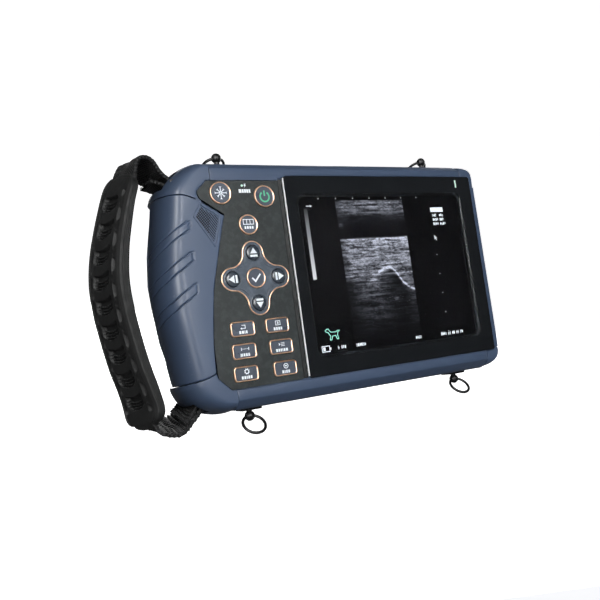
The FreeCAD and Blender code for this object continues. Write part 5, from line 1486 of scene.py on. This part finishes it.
def fray(name, rings, count, length, seed):
    """Loose yarn ends standing out of a cut edge of webbing."""
    rng = np.random.default_rng(seed)
    end, before = rings[-1], rings[-4]
    around = 2 * math.pi * np.arange(5) / 5
    vertices, faces, uvs = [], [], []
    for _ in range(count):
        j = rng.integers(0, end.shape[0])
        direction = unit(unit(end[j] - before[j]) + rng.normal(0, 0.35, 3))
        reach = length * rng.uniform(0.4, 1.0)
        radius = rng.uniform(0.08, 0.17)
        bend = rng.normal(0, 0.25, 3)
        side = unit(np.cross(direction, [0.3, 0.5, 0.8]))
        up = np.cross(direction, side)
        first = len(vertices)
        for ring in range(4):
            t = ring / 3
            centre = end[j] + direction * reach * t + bend * reach * t * t
            size = radius * (1 - 0.5 * t)
            for i, angle in enumerate(around):
                vertices.append(centre + side * size * math.cos(angle)
                                + up * size * math.sin(angle))
                uvs.append((t * 3, i * 0.3))
        yarn = grid_faces(4, 5, close_columns=True) + [range(5), range(15, 20)]
        faces += [tuple(first + i for i in face) for face in yarn]
    make_object(name, vertices, faces, WEBBING, uvs=uvs, slot="webbing")


fray("webbing_fray_top", top_tail, count=170, length=1.8, seed=3)
fray("webbing_fray_bottom", bottom_tail, count=120, length=1.3, seed=4)

# strap pin with a shallow groove near each end, as (depth, radius)
PIN_PROFILE = ((7.2, 1.1), (7.4, 1.4), (9.6, 1.4), (9.8, 1.2), (10.4, 1.2), (10.6, 1.4),
               (22.0, 1.42), (36.4, 1.4), (36.6, 1.2), (37.2, 1.2), (37.4, 1.4), (38.0, 1.4),
               (38.2, 1.1))


def strap_bars():
    low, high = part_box("strap_bars")
    x = centre_mm("strap_bars")[0]
    for i, z in enumerate((high.z * 1000 - 1.5, low.z * 1000 + 1.5)):
        rows = [at_depth(circle(x, z, radius, 28), depth) for depth, radius in PIN_PROFILE]
        tube("strap_bar_%d" % i, rows, BLACK_METAL, slot="steel", sharp_angle=40,
             replaces="strap_bars")


strap_bars()

# ------------------------------------------------------------------ CAD pieces kept as they are
# piece: material, slot, edge bevel
FINISHES = {
    "front_shell": (CASE, "casing", 0.25),
    "rear_shell": (CASE, "casing", 0.45),
    "battery_door": (CASE, "casing", 0.35),
    "battery_latch": (BEZEL, "bezel", 0.25),
    "screen_frame": (BEZEL, "bezel", 0.3),
    "screen_window": (GLASS, "window", 0.0),
    "screen_gasket": (SEAL, "seal", 0.0),
    "lcd_panel": (display_dark(), "display", 0.0),
    "indicator_window": (LED, "led", 0.05),
    "bezel_trim": (TRIM, "trim", 0.1),
    "keypad_overlay": (OVERLAY, "overlay", 0.14),
    "dpad_plate": (PLATE, "plate", 0.05),
    "status_led": (LED, "led", 0.08),
    "key_mat": (SEAL, "seal", 0.0),
    "keypad_board": (BOARD, "board", 0.0),
    "speaker": (BEZEL, "bezel", 0.1),
    "chassis_plate": (ALUMINIUM, "alu", 0.1),
    "main_board": (BOARD, "board", 0.0),
    "beamformer_board": (BOARD, "board", 0.0),
    "display_cable": (POLYIMIDE, "cable", 0.0),
    "battery_pack": (BATTERY_WRAP, "battery", 0.3),
    "battery_contacts": (BRASS, "brass", 0.05),
    "probe_socket": (ALUMINIUM, "alu", 0.2),
    "dc_jack": (BEZEL, "bezel", 0.15),
    "usb_port": (STEEL, "steel", 0.08),
    "port_cover": (SEAL, "seal", 0.3),
    "lanyard_lugs": (BLACK_METAL, "black_metal", 0.12),
    "case_screws": (STEEL, "steel", 0.08),
    "rear_feet": (SEAL, "seal", 0.25),
    "case_seal": (SEAL, "seal", 0.0),
    "ring_top_left": (BLACK_METAL, "black_metal", 0.0),
    "ring_top_right": (BLACK_METAL, "black_metal", 0.0),
    "ring_bottom_left": (BLACK_METAL, "black_metal", 0.0),
    "ring_bottom_right": (BLACK_METAL, "black_metal", 0.0),
}
for name, (material, slot, bevel_width) in FINISHES.items():
    piece = NODES[name]
    piece.data.materials.clear()
    piece.data.materials.append(material)
    if bevel_width:
        bevel = piece.modifiers.new("edge", "BEVEL")
        bevel.width = bevel_width / 1000
        bevel.segments = 2
        bevel.limit_method = "ANGLE"
        bevel.angle_limit = math.radians(38)
        bevel.harden_normals = False


# ------------------------------------------------------------------ stage, in metres
def stage_paper():
    """Bright and glowing to the camera, a dim grey to every other ray."""
    s = Shader("stage_paper")
    camera_ray = s.node("LightPath").outputs["Is Camera Ray"]
    seen = s.patches(s.coords(), (0.3, 0.80), (0.7, 0.83), scale=30.0, detail=4.0)
    return s.surface(base_color=s.mix(camera_ray, (0.20, 0.20, 0.205), seen), roughness=0.9,
                     specular_ior_level=0.05, emission_color=(1.0, 1.0, 1.0),
                     emission_strength=s.times(camera_ray, 0.96))


def stage_sheet():
    """Floor just under the object, curving up into a wall behind it."""
    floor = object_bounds()[0].z - 0.0004
    bend = 0.7  # radius, and the y where the bend starts
    profile = [(-1.6, 0.0), (-0.6, 0.0), (0.2, 0.0), (bend, 0.0)]
    profile += [(bend + bend * math.sin(a), bend - bend * math.cos(a))
                for a in np.radians(np.linspace(0, 90, 14)[1:])]
    profile.append((2 * bend, 2.4))
    xs = np.linspace(-2.6, 2.6, 9)
    points = [(x, y, z + floor) for y, z in profile for x in xs]
    sheet = make_object("stage_sheet", points, grid_faces(len(profile), len(xs)), stage_paper(),
                        body=None, in_metres=True)
    sheet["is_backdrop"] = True


def area_light(name, location, target, size, watts, spread=180.0, diffuse=True, glossy=True):
    light = bpy.data.lights.new(name, "AREA")
    light.shape = "RECTANGLE"
    light.size, light.size_y = size
    light.energy = watts
    light.spread = math.radians(spread)
    obj = bpy.data.objects.new(name, light)
    bpy.context.scene.collection.objects.link(obj)
    obj.location = location
    aim = Vector(target) - Vector(location)
    obj.rotation_euler = aim.to_track_quat("-Z", "Y").to_euler()
    obj.visible_diffuse = diffuse
    obj.visible_glossy = glossy
    obj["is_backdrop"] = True


def studio_world():
    """Full strength to the camera, faint to every other ray."""
    world = bpy.data.worlds.new("studio")
    bpy.context.scene.world = world
    world.use_nodes = True
    tree = world.node_tree
    background = tree.nodes["Background"]
    light_path = tree.nodes.new("ShaderNodeLightPath")
    strength = tree.nodes.new("ShaderNodeMix")
    strength.data_type = "FLOAT"
    strength.inputs[2].default_value = 0.09  # other rays
    strength.inputs[3].default_value = 1.0  # camera rays
    tree.links.new(light_path.outputs["Is Camera Ray"], strength.inputs[0])
    tree.links.new(strength.outputs[0], background.inputs["Strength"])
    background.inputs["Color"].default_value = (0.96, 0.97, 1.0, 1)


def view_camera():
    camera = bpy.data.cameras.new("view")
    camera.lens = 42.10
    camera.sensor_width = 36.0
    obj = bpy.data.objects.new("view", camera)
    bpy.context.scene.collection.objects.link(obj)
    right = Vector((0.86428, -0.48422, -0.13620))
    up = Vector((0.08192, -0.13166, 0.98790))
    backwards = Vector((-0.49629, -0.86498, -0.07412))
    rotation = Matrix((right, up, backwards)).transposed()
    position = Matrix.Translation((-0.24825, -0.36167, -0.04007))
    obj.matrix_world = position @ rotation.to_4x4()
    bpy.context.scene.camera = obj


stage_sheet()
area_light("key_softbox", location=(-0.12, -1.0, 0.22), target=(-0.13, -0.04, 0.0),
           size=(0.4, 0.4), watts=1.1, spread=56.0)
area_light("front_fill", location=(0.3, -1.0, 0.3), target=(0.0, -0.04, 0.0),
           size=(0.6, 0.6), watts=0.2, glossy=False)
area_light("top_fill", location=(-0.2, -0.5, 1.1), target=(-0.05, 0, 0),
           size=(0.7, 0.5), watts=0.4)
area_light("strip_left", location=(-0.60, -0.55, 0.12), target=(-0.13, -0.04, 0.0),
           size=(0.13, 0.9), watts=12.0, diffuse=False)
area_light("back_softbox", location=(0.34, 1.05, 0.35), target=(-0.02, 0, 0),
           size=(0.8, 0.7), watts=12.0)
area_light("right_softbox", location=(1.05, 0.5, 0.35), target=(0.07, -0.02, 0),
           size=(0.6, 0.6), watts=7.0)
studio_world()
view_camera()
bpy.context.scene.view_settings.view_transform = "Standard"
